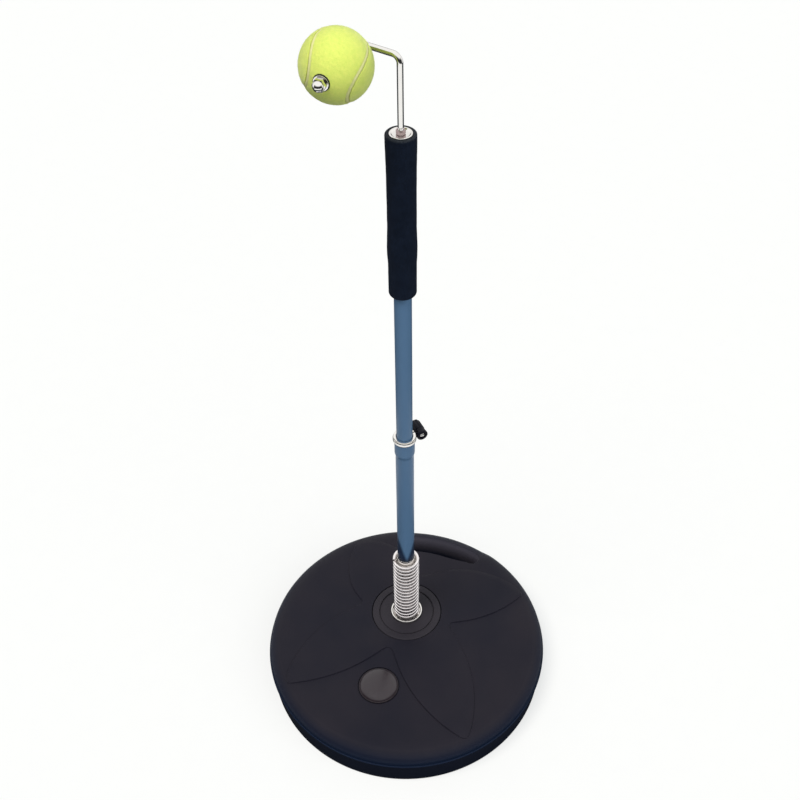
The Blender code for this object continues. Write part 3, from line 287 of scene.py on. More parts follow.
def addRelief(tree, sockets, *layers):
    # layers from coarse to fine: (height, depth in metres, strength)
    normal = None
    for height, depth, strength in layers:
        inputs = {"Height": height, "Distance": depth, "Strength": strength}
        if normal is not None:
            inputs["Normal"] = normal
        normal = addNode(tree, "Bump", inputs).outputs["Normal"]
    feed(tree, sockets["Normal"], normal)


def startFinish(name, color, roughness, shine=0.5, metallic=0.0):
    finish = bpy.data.materials.new(name)
    finish.use_nodes = True
    tree = finish.node_tree
    sockets = tree.nodes["Principled BSDF"].inputs
    feed(tree, sockets["Base Color"], color)
    feed(tree, sockets["Roughness"], roughness)
    feed(tree, sockets["Specular IOR Level"], shine)
    feed(tree, sockets["Metallic"], metallic)
    return finish, tree, sockets


plasticLook = {
    "drift": (0.09, 2.0),                       # slow change of colour
    "rubs": (0.012, 5.0, 0.7, (1.0, 0.35, 1.0)),
    "glossier": 0.05,                           # what rubbing does to the roughness
    "duller": 0.07,
    "coarser": 9,                               # coarse grain's size and depth, in the fine one's
    "deeper": 2.0,
    "strengths": (0.5, 0.6),
}
basePaintedShading = {
    "edgeHeights": (0.0455, 0.0575),            # painted shade: the rounded edge turns navy below these
    "edgeShadeColor": (0.0030, 0.0075, 0.0220),
    "sideHeights": (0.0385, 0.0405),            # painted shade: the side wall is darker
    "sideShadeColor": (0.0048, 0.0066, 0.0155),
    "litWallReach": (0.148, 0.156, 0.168, 0.176),  # painted light on the slot's far wall, from the base's middle
    "litWallHeights": (0.030, 0.040, 0.0545, 0.0585),
    "litWallColor": (0.034, 0.031, 0.042),
}


def paintedShadingBase(tree, tone):
    # painted shading: shade on a navy edge and a darker side wall, light on the slot's far wall
    place = placeOn(tree)
    for heights, color in (("edgeHeights", "edgeShadeColor"), ("sideHeights", "sideShadeColor")):
        above = spread(tree, place["Z"], 0.0, 1.0, *basePaintedShading[heights])
        tone = blendColors(tree, above, basePaintedShading[color], tone)
    # painted light: the slot's far wall is paler, as if lit
    squares = [joinMath(tree, "POWER", place[axis], 2.0) for axis in "XY"]
    away = joinMath(tree, "POWER", joinMath(tree, "ADD", *squares), 0.5)
    litWall = joinMath(tree, "MULTIPLY", band(tree, away, *basePaintedShading["litWallReach"]),
                    band(tree, place["Z"], *basePaintedShading["litWallHeights"]))
    return blendColors(tree, litWall, tone, basePaintedShading["litWallColor"])


def plasticFinish(name, dark, light, rough, grain, depth, shine, paintedShading=None):
    # moulded plastic: slow drift of colour, faint rubbed marks, two sizes of grain
    finish, tree, sockets = startFinish(name, dark, rough, shine)
    tone = mottle(tree, plasticLook["drift"], dark, light)
    feed(tree, sockets["Base Color"], paintedShading(tree, tone) if paintedShading else tone)
    rubs = addNoise(tree, *plasticLook["rubs"])
    rubbed = spread(tree, rubs, rough - plasticLook["glossier"], rough + plasticLook["duller"])
    feed(tree, sockets["Roughness"], rubbed)
    coarse, fine = addNoise(tree, grain * plasticLook["coarser"], 2.0), addNoise(tree, grain, 2.0)
    first, second = plasticLook["strengths"]
    addRelief(tree, sockets, (coarse, depth * plasticLook["deeper"], first), (fine, depth, second))
    return finish


metalLook = {
    "clouds": (0.02, 3.0),
    "cloudShare": 0.6,          # how much of the duller colour they bring
    "marks": (0.00001, 0.25),   # depth and strength of the polishing marks
}


def metalFinish(name, color, rough, smear, grain=0.004, stretch=None, dull=0.86, rim=1.0):
    # plated or drawn metal: smears of gloss along the way it was polished, duller clouds;
    # a rim under 1 makes it darker where it turns away
    finish, tree, sockets = startFinish(name, color, rough, metallic=1.0)
    feed(tree, sockets["Specular Tint"], (rim, rim, rim * 1.03))
    smears = addNoise(tree, grain, 4.0, 0.6, stretch)
    feed(tree, sockets["Roughness"], spread(tree, smears, rough, rough + smear))
    clouds = spread(tree, addNoise(tree, *metalLook["clouds"]), 0.0, metalLook["cloudShare"])
    feed(tree, sockets["Base Color"], blendColors(tree, clouds, color, tuple(c * dull for c in color)))
    addRelief(tree, sockets, (addNoise(tree, grain * 0.2, 2.0, 0.5, stretch), *metalLook["marks"]))
    return finish


def rubberFinish(name, dark, light, rough, stains, grain, depth):
    finish, tree, sockets = startFinish(name, dark, rough)
    feed(tree, sockets["Base Color"], mottle(tree, stains, dark, light))
    addRelief(tree, sockets, (addNoise(tree, grain, 3.0), depth, 0.6))
    return finish


paintLook = {
    "dark": (0.084, 0.160, 0.283),
    "light": (0.095, 0.177, 0.309),
    "shade": (0.05, 2.0, 0.5, (1.0, 1.0, 0.2)),
    "wave": (0.006, 4.0, 0.6, (1.0, 1.0, 0.25)),
    "gloss": (0.32, 0.42),                      # roughness over the wave
    "shine": 0.18,
    "coat": 0.08,
    "coatRough": 0.12,
    "peel": (0.0018, 2.0),
    "peelRelief": (0.00002, 0.35),              # depth in metres and strength
    "nibs": (0.0012, 1.0),
    "nibEdge": (0.72, 0.80),
    "nibRelief": (0.00008, 0.5),
    "wedgeHeights": (0.1805, 0.1945),           # painted shade, darker in a wedge towards the spring
    "wedgeMiddle": 0.0015,
    "wedgeSlope": 3.7,
    "wedgeShadeColor": (0.011, 0.023, 0.054),
    "footHeights": (0.1825, 0.1945),            # and darker still all round below it
    "footShadeColor": (0.006, 0.010, 0.022),
}


def paintFinish(name, shadedFoot=False):
    # gloss enamel on drawn tube, with a slow wave in the gloss and a few dust nibs
    finish, tree, sockets = startFinish(name, paintLook["dark"], paintLook["gloss"][0], paintLook["shine"])
    tone = mottle(tree, paintLook["shade"], paintLook["dark"], paintLook["light"])
    # painted shade: a dark wedge at the tube's foot towards the spring, darker all round below it
    if shadedFoot:
        place = placeOn(tree)
        aside = joinMath(tree, "SUBTRACT", place["X"], paintLook["wedgeMiddle"])
        drop = joinMath(tree, "MULTIPLY", joinMath(tree, "ABSOLUTE", aside, 0.0), paintLook["wedgeSlope"])
        climbed = joinMath(tree, "SUBTRACT", place["Z"], drop)
        tone = blendColors(tree, spread(tree, climbed, 0.0, 1.0, *paintLook["wedgeHeights"]),
                           paintLook["wedgeShadeColor"], tone)
        tone = blendColors(tree, spread(tree, place["Z"], 0.0, 1.0, *paintLook["footHeights"]),
                           paintLook["footShadeColor"], tone)
    feed(tree, sockets["Base Color"], tone)
    feed(tree, sockets["Roughness"], spread(tree, addNoise(tree, *paintLook["wave"]), *paintLook["gloss"]))
    feed(tree, sockets["Coat Weight"], paintLook["coat"])
    feed(tree, sockets["Coat Roughness"], paintLook["coatRough"])
    peel = addNoise(tree, *paintLook["peel"])
    nibs = spread(tree, addNoise(tree, *paintLook["nibs"]), 0.0, 1.0, *paintLook["nibEdge"])
    addRelief(tree, sockets, (peel, *paintLook["peelRelief"]), (nibs, *paintLook["nibRelief"]))
    return finish


foamLook = {
    "dark": (0.0042, 0.0080, 0.0190),
    "light": (0.0078, 0.0130, 0.0285),
    "roughness": 0.66,
    "shine": 0.12,
    "drift": (0.010, 3.0),
    "litTopColor": (0.026, 0.030, 0.038),          # painted light: the grip's top rim is paler
    "litTopFade": (0.0022, 0.0004),                # under the grip's top
    "cell": 0.00075,
    "cellWall": (0.05, 0.65),                   # where a cell's wall rises, from its middle
    # painted shade in the pores
    "poreShadeColor": (0.002, 0.003, 0.006),
    "poreRelief": (0.00016, 0.8),               # depth in metres and strength
    "dents": (0.004, 3.0),
    "dentRelief": (0.0003, 0.4),
}


def foamFinish(name):
    # closed-cell foam: fine open skin of cells over slow dents
    finish, tree, sockets = startFinish(name, foamLook["dark"], foamLook["roughness"], foamLook["shine"])
    tone = mottle(tree, foamLook["drift"], foamLook["dark"], foamLook["light"])
    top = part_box("foam_grip")[1].z
    # painted highlight: paler over the top rim
    litTop = spread(tree, placeOn(tree)["Z"], 0.0, 1.0, *(top - drop for drop in foamLook["litTopFade"]))
    tone = blendColors(tree, litTop, tone, foamLook["litTopColor"])
    place = tree.nodes.new("ShaderNodeTexCoord").outputs["Object"]
    cells = addNode(tree, "TexVoronoi", {"Vector": place, "Scale": 1.0 / foamLook["cell"]})
    pores = spread(tree, cells.outputs["Distance"], 0.0, 1.0, *foamLook["cellWall"])
    # painted shade: each pore is darker towards its middle, where the cell dips
    feed(tree, sockets["Base Color"], blendColors(tree, pores, foamLook["poreShadeColor"], tone))
    dents = addNoise(tree, *foamLook["dents"])
    addRelief(tree, sockets, (dents, *foamLook["dentRelief"]), (pores, *foamLook["poreRelief"]))
    return finish


feltLook = {
    "deep": (0.555, 0.690, 0.088),
    "pale": (0.74, 0.790, 0.150),
    "tips": (0.82, 0.845, 0.25),
    "tipShare": 0.55,
    "roughness": 0.95,
    "shine": 0.15,
    "clumps": (0.0035, 4.0, 0.7),
    "clumpRelief": (0.0009, 0.55),              # depth in metres and strength
    "fibres": (0.0007, 4.0, 0.75, (1.0, 2.4, 1.6)),
    "fibreRelief": (0.0004, 0.7),
    "sheen": 0.32,
    "sheenRough": 0.5,
}


def feltFinish(name):
    # woollen nap: matted clumps, crossing fibres and a soft sheen
    finish, tree, sockets = startFinish(name, feltLook["deep"], feltLook["roughness"], feltLook["shine"])
    clumps, fibres = addNoise(tree, *feltLook["clumps"]), addNoise(tree, *feltLook["fibres"])
    ground = blendColors(tree, spread(tree, clumps, 0.0, 1.0), feltLook["deep"], feltLook["pale"])
    tone = blendColors(tree, spread(tree, fibres, 0.0, feltLook["tipShare"]), ground, feltLook["tips"])
    feed(tree, sockets["Base Color"], tone)
    addRelief(tree, sockets, (clumps, *feltLook["clumpRelief"]), (fibres, *feltLook["fibreRelief"]))
    feed(tree, sockets["Sheen Weight"], feltLook["sheen"])
    feed(tree, sockets["Sheen Roughness"], feltLook["sheenRough"])
    return finish


# dark and light tone, roughness, size and depth of the grain, shine
basePlastic = plasticFinish("baseCharcoal", (0.0085, 0.0083, 0.0145), (0.0140, 0.0122, 0.0180),
                            0.46, 0.0007, 0.00006, 0.14, paintedShadingBase)
discPlastic = plasticFinish("discCharcoal", (0.0200, 0.0178, 0.0235), (0.0262, 0.0228, 0.0290),
                            0.44, 0.0007, 0.00005, 0.16)
nylonBlack = plasticFinish("nylonBlack", (0.016, 0.016, 0.019), (0.027, 0.027, 0.031),
                           0.45, 0.0005, 0.00003, 0.25)
knobPlastic = plasticFinish("knobBlack", (0.003, 0.003, 0.008), (0.005, 0.005, 0.011),
                            0.34, 0.0006, 0.00003, 0.16)
capGloss = plasticFinish("capGloss", (0.014, 0.0095, 0.013), (0.022, 0.0145, 0.019),
                         0.32, 0.0012, 0.000004, 0.62)
# colour, roughness, what a smear adds to it
chromePlate = metalFinish("chromePlate", (0.92, 0.90, 0.86), 0.04, 0.06, dull=0.92, rim=0.25)
springChrome = metalFinish("springChrome", (0.97, 0.925, 0.92), 0.06, 0.07, 0.003, dull=0.92, rim=0.15)
nutChrome = metalFinish("nutChrome", (0.50, 0.40, 0.40), 0.12, 0.08, 0.002, rim=0.5)
zincSteel = metalFinish("zincSteel", (0.60, 0.60, 0.62), 0.24, 0.16, 0.002, dull=0.80, rim=0.7)
turnedBrass = metalFinish("turnedBrass", (0.72, 0.52, 0.24), 0.22, 0.12, 0.002, (1.0, 1.0, 6.0))
# dark and light tone, roughness, stains, size and depth of the tooth
seamRubber = rubberFinish("seamRubber", (0.64, 0.635, 0.25), (0.77, 0.745, 0.34),
                          0.62, (0.004, 4.0, 0.6), 0.0008, 0.00012)
sealRubber = rubberFinish("sealRubber", (0.016, 0.016, 0.018), (0.032, 0.031, 0.032),
                          0.70, (0.006, 4.0), 0.0006, 0.00005)
tubeBlue = paintFinish("tubeBlue")
footBlue = paintFinish("footBlue", shadedFoot=True)
gripFoam = foamFinish("gripFoam")
ballFelt = feltFinish("ballFelt")

slotFinish = {
    "base_plastic": basePlastic, "gloss_plastic": capGloss, "rubber": sealRubber, "nylon": nylonBlack,
    "chrome": chromePlate, "steel": zincSteel, "brass": turnedBrass, "blue_paint": tubeBlue,
    "grip_foam": gripFoam, "felt": ballFelt, "seam_paste": seamRubber,
}
slotOfNode = {part["node"]: part["material_slot"] for part in frame["record"]["subparts"]}
for nodeName, nodeObject in frame["nodes"].items():
    for holder in nodeObject.material_slots:
        holder.material = slotFinish[slotOfNode[nodeName]]
    smoothOver(nodeObject.data, 35)
print("finishes made")


# Base

baseSize = {
    "radius": 0.188,                # over the parting lip
    "height": 0.060,
    "wall": 0.003,
    "shoulder": (0.0246, 0.016),    # across and down
    "lipHeight": 0.0395,
    "lipHalf": 0.0013,
    "lipProud": 0.0014,
    "taper": 0.004,
    "foot": 0.005,                  # rounding at the floor
    "footWidth": 0.030,
    "panelRaise": 0.003,
    "innerPanel": (0.036, 0.033),   # the raised panel's edge inside, from the wall
    "pocket": 0.0481,               # radius of the disc's pocket
    "pocketFloor": 0.050,
    "pocketRound": 0.0009,
    "brim": 0.0045,                 # rings beyond this are round about the base's middle
    "spokes": 432,
}
petalSize = {
    "raise": 0.0016,
    "valley": 0.0639,               # from the pole
    "tip": 0.175,                   # from the middle of the base
    "tips": (22.0, 113.0, 206.0, 295.8),
    "valleys": (-19.0, 70.0, 165.5, 248.0, 341.0),
    "waist": 0.111,
    "sweep": 0.95,
    "tipEase": 0.052,
    "valleyEase": 0.022,
    "step": 0.0013,                 # width of the step at a petal's edge
}
slotSize = {
    "middle": 0.1530,
    "half": 0.0110,
    "from": 54.5,
    "to": 87.0,
    "footFlare": 0.003,
    "flare": 0.0100,                # rounding of the far edge, across
    "flareDeep": 0.0135,            # and down
    "farDrop": 0.0048,              # how much lower it lies than the near edge
    "inner": 0.12,                  # the near edge's share of it
    "squeeze": 0.0070,              # how far the near edge goes out at the right end
    "squeezeFrom": 14.0,            # degrees over which it does
    "barDrop": 0.0030,              # the grip bar lies lower than the shoulder beside it
    "barBrim": 7.0,                 # degrees over which that ends
    "barLevel": 0.15,               # share of it that is lost towards the lip
}
plugSpot = Vector((-0.036, -0.082, 0.0))
neckSize = {"radius": 0.0200, "seat": 0.0580, "seatRadius": 0.0274, "depth": 0.013, "flare": 0.0012}
recessSize = {"mouth": 0.034, "mouthFlare": 0.0016, "top": 0.0185, "height": 0.040, "bolt": 0.0053}


def eased(value, ease):
    return math.hypot(value, ease) - ease


def petalReach(angle):
    # how far a petal goes from the pole in one direction, in degrees
    valleys = petalSize["valleys"]
    angle = (angle - valleys[0]) % 360.0 + valleys[0]
    k = max(i for i in range(4) if valleys[i] <= angle)
    tip = levelWay(petalSize["tips"][k]) * petalSize["tip"] - poleSpot
    axis = math.degrees(math.atan2(tip.y, tip.x)) % 360.0
    side = valleys[k] if angle < axis else valleys[k + 1]
    tipEase, valleyEase = petalSize["tipEase"], petalSize["valleyEase"]
    swing = eased((angle - axis) / (side - axis), tipEase) / eased(1.0, tipEase)
    rise = tip.length - petalSize["valley"]
    reach = rise * max(1.0 - swing ** petalSize["sweep"], 0.0) ** (rise / petalSize["waist"])
    return petalSize["valley"] + rise * eased(reach, valleyEase) / eased(rise, valleyEase)


def barDip(degrees):
    # how much lower the shoulder is over the grip bar
    past = max(slotSize["from"] - degrees, degrees - slotSize["to"], 0.0) / slotSize["barBrim"]
    return slotSize["barDrop"] * (0.5 + 0.5 * math.cos(math.pi * min(past, 1.0)))


def skinHeight(place):
    # height of the top at a place on the base, without its petals
    edge = baseSize["radius"] - baseSize["lipProud"]
    across, down = baseSize["shoulder"]
    past = min(max(place.length - (edge - across), 0.0) / across, 1.0)
    dipStart = slotSize["middle"] - slotSize["half"] / 2
    dipped = min(max(place.length - dipStart, 0.0) / (edge - across - dipStart), 1.0)
    dip = barDip(math.degrees(math.atan2(place.y, place.x))) * dipped
    return baseSize["height"] - down * (1.0 - math.sqrt(max(1.0 - past * past, 0.0))) - dip


def baseBelow():
    # from the lip down to the underside: (radius, height) about the base's middle
    lipRadius, raised = baseSize["radius"], baseSize["panelRaise"]
    foot = lipRadius - baseSize["taper"]
    wall = lipRadius - baseSize["lipProud"]
    lip, half = baseSize["lipHeight"], baseSize["lipHalf"]
    panel = foot - baseSize["foot"] - baseSize["footWidth"]
    corners = [
        (0.0, 0.1), (wall, lip + half, 0.0003), (lipRadius, lip + half / 2, 0.0007),
        (lipRadius, lip - half / 2, 0.0007), (wall, lip - half, 0.0006), (foot, 0.0, baseSize["foot"]),
        (panel, 0.0, 0.002), (panel - raised, raised, 0.002), (0.0, raised),
    ]
    return roundCorners(corners, 5)[1:-1]


def outTo(way, radius):
    # how far it is from the pole to a circle about the base's middle
    along = poleSpot.xy.dot(way)
    return -along + math.sqrt(along * along + radius * radius - poleSpot.xy.length_squared)


def baseSpoke(degrees, below):
    # the base's outside in one direction from the pole; a petal's edge is at the same rings in each
    way, spot = levelWay(degrees).xy, poleSpot.xy
    height, pocket, ease = baseSize["height"], baseSize["pocket"], baseSize["pocketRound"]
    rise, half = petalSize["raise"], petalSize["step"] / 2
    edge = baseSize["radius"] - baseSize["lipProud"]
    across, down = baseSize["shoulder"]
    lifts = []                  # distance from the pole, height over the skin
    for turn in (22, 45, 68, 90):
        out = ease * (1 - math.cos(math.radians(turn)))
        lifts.append((pocket + out, rise - ease * (1 - math.sin(math.radians(turn)))))
    reach = petalReach(degrees)
    start = pocket + ease
    lifts += [(start + (reach - half - start) * s, rise) for s in (0.25, 0.5, 0.75, 0.9, 1.0)]
    for s in (-0.6, -0.2, 0.2, 0.6, 1.0):
        lifts.append((reach + half * s, rise * (0.5 - 0.5 * math.sin(math.pi / 2 * s))))
    last = outTo(way, edge - baseSize["brim"])
    lifts += [(reach + half + (last - reach - half) * s / 22, 0.0) for s in range(1, 23)]
    points = [(*(spot + way * pocket), z) for z in (baseSize["pocketFloor"], height + rise - ease)]
    for distance, lift in lifts:
        place = spot + way * distance
        points.append((*place, skinHeight(place) + lift))
    first = math.asin((edge - baseSize["brim"] - (edge - across)) / across)
    for k in range(1, 8):
        turn = first + (math.pi / 2 - first) * k / 7
        place = spot + way * outTo(way, edge - across + across * math.sin(turn))
        dip = barDip(math.degrees(math.atan2(place.y, place.x)))
        dip *= 1 - slotSize["barLevel"] * math.sin(turn) ** 8
        points.append((*place, height - down * (1 - math.cos(turn)) - dip))
    return points + [(*(spot + way * outTo(way, radius)), z) for radius, z in below]


def baseOutside():
    bm = bmesh.new()
    below, count = baseBelow(), baseSize["spokes"]
    spokes = [[bm.verts.new(point) for point in baseSpoke(360.0 * k / count, below)] for k in range(count)]
    top = bm.verts.new((*poleSpot.xy, baseSize["pocketFloor"]))
    bottom = bm.verts.new((*poleSpot.xy, baseSize["panelRaise"]))
    for here, after in zip(spokes, spokes[1:] + spokes[:1]):
        for k in range(len(here) - 1):
            bm.faces.new((here[k], here[k + 1], after[k + 1], after[k]))
        bm.faces.new((top, here[0], after[0]))
        bm.faces.new((bottom, after[-1], here[-1]))
    return bm


def slotLoop(flare, grow, height, drop=0.0):
    # the slot's outline at one height; its far edge is lower by the drop
    far = slotSize["middle"] + slotSize["half"] + grow + flare
    near = slotSize["middle"] - slotSize["half"] - grow - flare * slotSize["inner"]
    first, last = slotSize["from"], slotSize["to"]

    def nearAt(degrees):
        s = max(first + slotSize["squeezeFrom"] - degrees, 0.0) / slotSize["squeezeFrom"]
        return near + slotSize["squeeze"] * s * s

    def roundEnd(end, inner, turns):
        middle, half = (far + inner) / 2, (far - inner) / 2
        return [(levelWay(end) * middle + levelWay(end + a) * half, 0.5 + 0.5 * math.cos(math.radians(a)))
                for a in turns]

    loop = [(levelWay(a) * far, 1.0) for a in np.linspace(first, last, 28)]
    loop += roundEnd(last, near, range(12, 180, 12))
    loop += [(levelWay(a) * nearAt(a), 0.0) for a in np.linspace(last, first, 28)]
    loop += roundEnd(first, nearAt(first), range(192, 360, 12))
    return [(point.x, point.y, height - drop * share) for point, share in loop]


def slotTool(name, grow):
    flare, foot, height = slotSize["flare"], slotSize["footFlare"], baseSize["height"]
    loops = [slotLoop(foot, grow, -over)]
    for turn in (90, 70, 50, 30, 10, 0):
        angle = math.radians(turn)
        loops.append(slotLoop(foot * (1 - math.cos(angle)), grow, foot * (1 - math.sin(angle))))
    for turn in (0, 12, 24, 36, 48, 60, 70, 78, 84):
        angle = math.radians(turn)
        rise = height - slotSize["flareDeep"] * (1 - math.sin(angle))
        loops.append(slotLoop(flare * (1 - math.cos(angle)), grow, rise, slotSize["farDrop"]))
    loops.append(slotLoop(flare * 0.97, grow, height + over))
    return makePiece(name, stackLoops(loops), None)


def barTool(name, depth):
    # all that lies over a depth under the grip bar's shoulder
    edge = baseSize["radius"] - baseSize["lipProud"]
    across, down = baseSize["shoulder"]
    start = slotSize["middle"] - slotSize["half"] / 2
    above, top = baseSize["height"] + over, baseSize["height"] - depth
    first, last = slotSize["from"] - slotSize["barBrim"], slotSize["to"] + slotSize["barBrim"]
    loops = []
    for degrees in np.linspace(first, last, 21):
        dip = barDip(degrees) - gap
        section = [(start, top + gap)]
        for turn in range(90, -1, -15):
            angle = math.radians(turn)
            height = top - dip - down * (1 - math.sin(angle))
            section.append((edge - across + (across - depth) * math.cos(angle), height))
        section += [(edge + over, section[-1][1]), (edge + over, above), (start, above)]
        loops.append([(*(levelWay(degrees).xy * radius), height) for radius, height in section])
    return makePiece(name, stackLoops(loops), None)


def baseTools():
    # slot, filling neck, and the recess and hole of the bolt
    height, seat = baseSize["height"], neckSize["seat"]
    wide, ledge = neckSize["radius"], neckSize["seatRadius"]
    low = seat - neckSize["depth"] - over
    neck = roundCorners([(0.0, low), (wide, low), (wide, seat, 0.0006), (ledge, seat, 0.0004),
                         (ledge, height - 0.0004), (ledge + neckSize["flare"], height + over),
                         (0.0, height + over)])
    mouth, top, deep = recessSize["mouth"], recessSize["top"], recessSize["height"]
    flare = recessSize["mouthFlare"]
    slope = (mouth - top) / deep
    recess = roundCorners([(0.0, -over), (mouth + slope * over + flare, -over), (mouth + flare, 0.0),
                           (mouth - 0.0003, 0.0045), (top, deep, 0.003), (0.0, deep)])
    return (slotTool("slotTool", 0.0),
            makePiece("neckTool", spinShape(neck, 96), None, plugSpot),
            makePiece("recessTool", spinShape(recess, 96), None, poleSpot),
            drillTool("boltTool", recessSize["bolt"], 0.03, 0.06, 32, poleSpot))


def baseHollow():
    # the air inside: what the wall, the socket, the slot's wall and the neck leave free
    wall, height, raised = baseSize["wall"], baseSize["height"], baseSize["panelRaise"]
    edge = baseSize["radius"] - baseSize["lipProud"] - wall
    foot = baseSize["radius"] - baseSize["taper"] - wall
    across, down = baseSize["shoulder"]
    panel, panelFoot = baseSize["innerPanel"]
    inside = [(0.0, raised + wall), (foot - panel, raised + wall), (foot - panelFoot, wall),
              (foot, wall, 0.004), (edge, baseSize["lipHeight"])]
    for turn in range(0, 91, 15):
        angle = math.radians(turn)
        inside.append((edge - across * (1 - math.cos(angle)), height - wall - down * (1 - math.sin(angle))))
    inside.append((0.0, height - wall))
    air = makePiece("air", spinShape(roundCorners(inside), 128), None)
    above = height + 0.001
    pocket = baseSize["pocket"] + wall
    socket = [(0.0, -over), (recessSize["mouth"] + wall + 0.001, -over),
              (recessSize["top"] + wall, recessSize["height"]), (pocket, baseSize["pocketFloor"] - wall),
              (pocket, above), (0.0, above)]
    low, seat = neckSize["seat"] - neckSize["depth"], neckSize["seat"] - wall
    wide, ledge = neckSize["radius"] + wall, neckSize["seatRadius"] + wall
    neck = [(0.0, low), (wide, low), (wide, seat), (ledge, seat), (ledge, above), (0.0, above)]
    return carve(air, makePiece("socketTool", spinShape(socket, 64), None, poleSpot),
                 slotTool("slotWallTool", wall), barTool("barWallTool", wall),
                 makePiece("neckWallTool", spinShape(neck, 64), None, plugSpot))


baseSkin = makePiece("baseSkin", baseOutside(), basePlastic, sharp=50)
carve(baseSkin, baseHollow(), *baseTools(), sharp=42)
settle(baseSkin, "base", "base_shell")
print("base made")


# Disc, filling plug and cup

discSize = {"groove": 0.0376, "grooveWidth": 0.0013, "grooveDepth": 0.0013, "dish": 0.0010, "edge": 0.0014,
            "boss": 0.0225, "wall": 0.003}


def makeDisc():
    foot, top, radius = spanOf("center_disc")
    dish = top - discSize["dish"]
    groove, wide, deep = discSize["groove"], discSize["grooveWidth"], discSize["grooveDepth"]
    bore, boss, wall = recessSize["bolt"], discSize["boss"], discSize["wall"]
    corners = [
        (bore, foot), (boss, foot), (boss, dish - wall, 0.001), (radius - wall, dish - wall, 0.001),
        (radius - wall, foot), (radius, foot), (radius, top, discSize["edge"]),
        (groove + 0.0004, top, 0.0005), (groove, dish - deep, 0.0002), (groove - wide, dish - deep, 0.0002),
        (groove - wide, dish, 0.0003), (bore, dish),
    ]
    addTurned("socketDisc", corners, discPlastic, "base", "center_disc", poleSpot,
              steps=128)


plugSize = {
    "rim": 0.0022,
    "domeMore": 0.0038,         # how much higher the dome is than the node's
    "domePower": 1.1,           # over 1 makes its sides slacker
    "skirt": 0.0194,
    "skirtWall": 0.0022,
    "seal": 0.0024,
    "sealDrop": 0.0055,
    "sealRound": 0.46,          # radius of the ring in shares of its groove
}


def makePlug():
    foot, top, radius = spanOf("fill_plug")
    seat = neckSize["seat"] + gap
    rim = seat + plugSize["rim"]
    skirt, seal = plugSize["skirt"], plugSize["seal"]
    bore = skirt - plugSize["skirtWall"] - seal
    grooveTop = seat - plugSize["sealDrop"]
    grooveFoot = grooveTop - seal - 2 * gap
    corners = [(0.0, seat), (bore, seat, 0.001), (bore, foot, 0.0006), (skirt, foot, 0.0012),
               (skirt, grooveFoot), (skirt - seal, grooveFoot), (skirt - seal, grooveTop),
               (skirt, grooveTop), (skirt, seat), (radius, seat, 0.0003), (radius, rim, 0.0007),
               (radius - 0.0006, rim + 0.0003, 0.0004)]
    base = rim + 0.0001
    dome = domeArc(radius - 0.0009, base, top + plugSize["domeMore"] - base, 12, plugSize["domePower"])
    plug = makePiece("fillCap", spinShape(roundCorners(corners) + dome, 96), capGloss, plugSpot, sharp=60)
    settle(plug, "filler", "fill_plug")
    thick = seal * plugSize["sealRound"]
    across, level = skirt - seal / 2 + gap, (grooveTop + grooveFoot) / 2
    ring = [(across + thick * math.cos(a), level + thick * math.sin(a))
            for a in np.linspace(0, math.tau, 17)[:-1]]
    settle(makePiece("capSeal", spinShape(ring, 96), sealRubber, plugSpot), "filler", "plug_seal")


cupSize = {"floor": 0.0015, "wall": 0.0024, "lean": 0.0002}


def makeCup():
    foot, top, radius = spanOf("spring_cup")
    floorTop, wall, lean = foot + cupSize["floor"], cupSize["wall"], cupSize["lean"]
    bore = recessSize["bolt"]
    corners = [(bore, foot), (radius - lean, foot, 0.0005), (radius, top, wall * 0.48),
               (radius - wall, top, wall * 0.48), (radius - wall - lean, floorTop, 0.0008),
               (bore, floorTop)]
    addTurned("springDish", corners, chromePlate, "base", "spring_cup", poleSpot, easing=6)


makeDisc()
makePlug()
makeCup()
print("disc, plug and cup made")


# Spring

springSize = {
    "wire": 0.0042,
    "radius": 0.01535,
    "foot": 0.0625,
    "top": 0.1827,
    "turns": 15.5,
    "closed": 1.0,              # turns at each end that lie close
    "closedGap": 0.0006,
    "split": 0.1197,            # where the two hinges are
    "splitRoom": 0.0006,
    "plugTop": 0.0885,          # the plug and the sleeve keep the rest of it straight
    "sleeveFoot": 0.1509,
    "perTurn": 44,
    "sides": 18,
}


def springLine():
    wire, turns, ends = springSize["wire"], springSize["turns"], springSize["closed"]
    low, high = springSize["foot"] + wire / 2, springSize["top"] - wire / 2
    closed = wire + springSize["closedGap"]
    pitch = (high - low - 2 * ends * closed) / turns
    total = turns + 2 * ends
    line = []
    for turn in np.linspace(0.0, total, int(total * springSize["perTurn"]) + 1):
        climb = min(turn, ends) * closed + min(max(turn - ends, 0.0), turns) * pitch
        climb += max(turn - ends - turns, 0.0) * closed
        line.append(Vector(onCircle(springSize["radius"], math.tau * turn, low + climb)))
    return line


def levelTail(last, before):
    # a wire's width further on, on the level
    way = last - before
    way.z = 0.0
    return last + way.normalized() * springSize["wire"]


def makeSpring():
    line = springLine()
    line = [levelTail(line[0], line[1])] + line + [levelTail(line[-1], line[-2])]
    split = min(k for k, point in enumerate(line) if point.z > springSize["split"])
    wire, sides = springSize["wire"], springSize["sides"]
    lowerWire = sweepRound(line[:split + 1], wire / 2, sides)
    upperWire = sweepRound(line[split:], wire / 2, sides)
    lower = makePiece("springLower", lowerWire, springChrome, poleSpot, sharp=50)
    upper = makePiece("springUpper", upperWire, springChrome, poleSpot, sharp=50)
    for half in (lower, upper):
        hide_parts("flex_spring")
    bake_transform(lower)
    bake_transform(upper)


makeSpring()
print("spring made")


# Tubes and clamp

sleeveSize = {"bore": 0.0113, "neckWall": 0.0007, "neckFoot": 0.0060, "neckLong": 0.0055, "floor": 0.003,
              "pinBore": 0.0023}


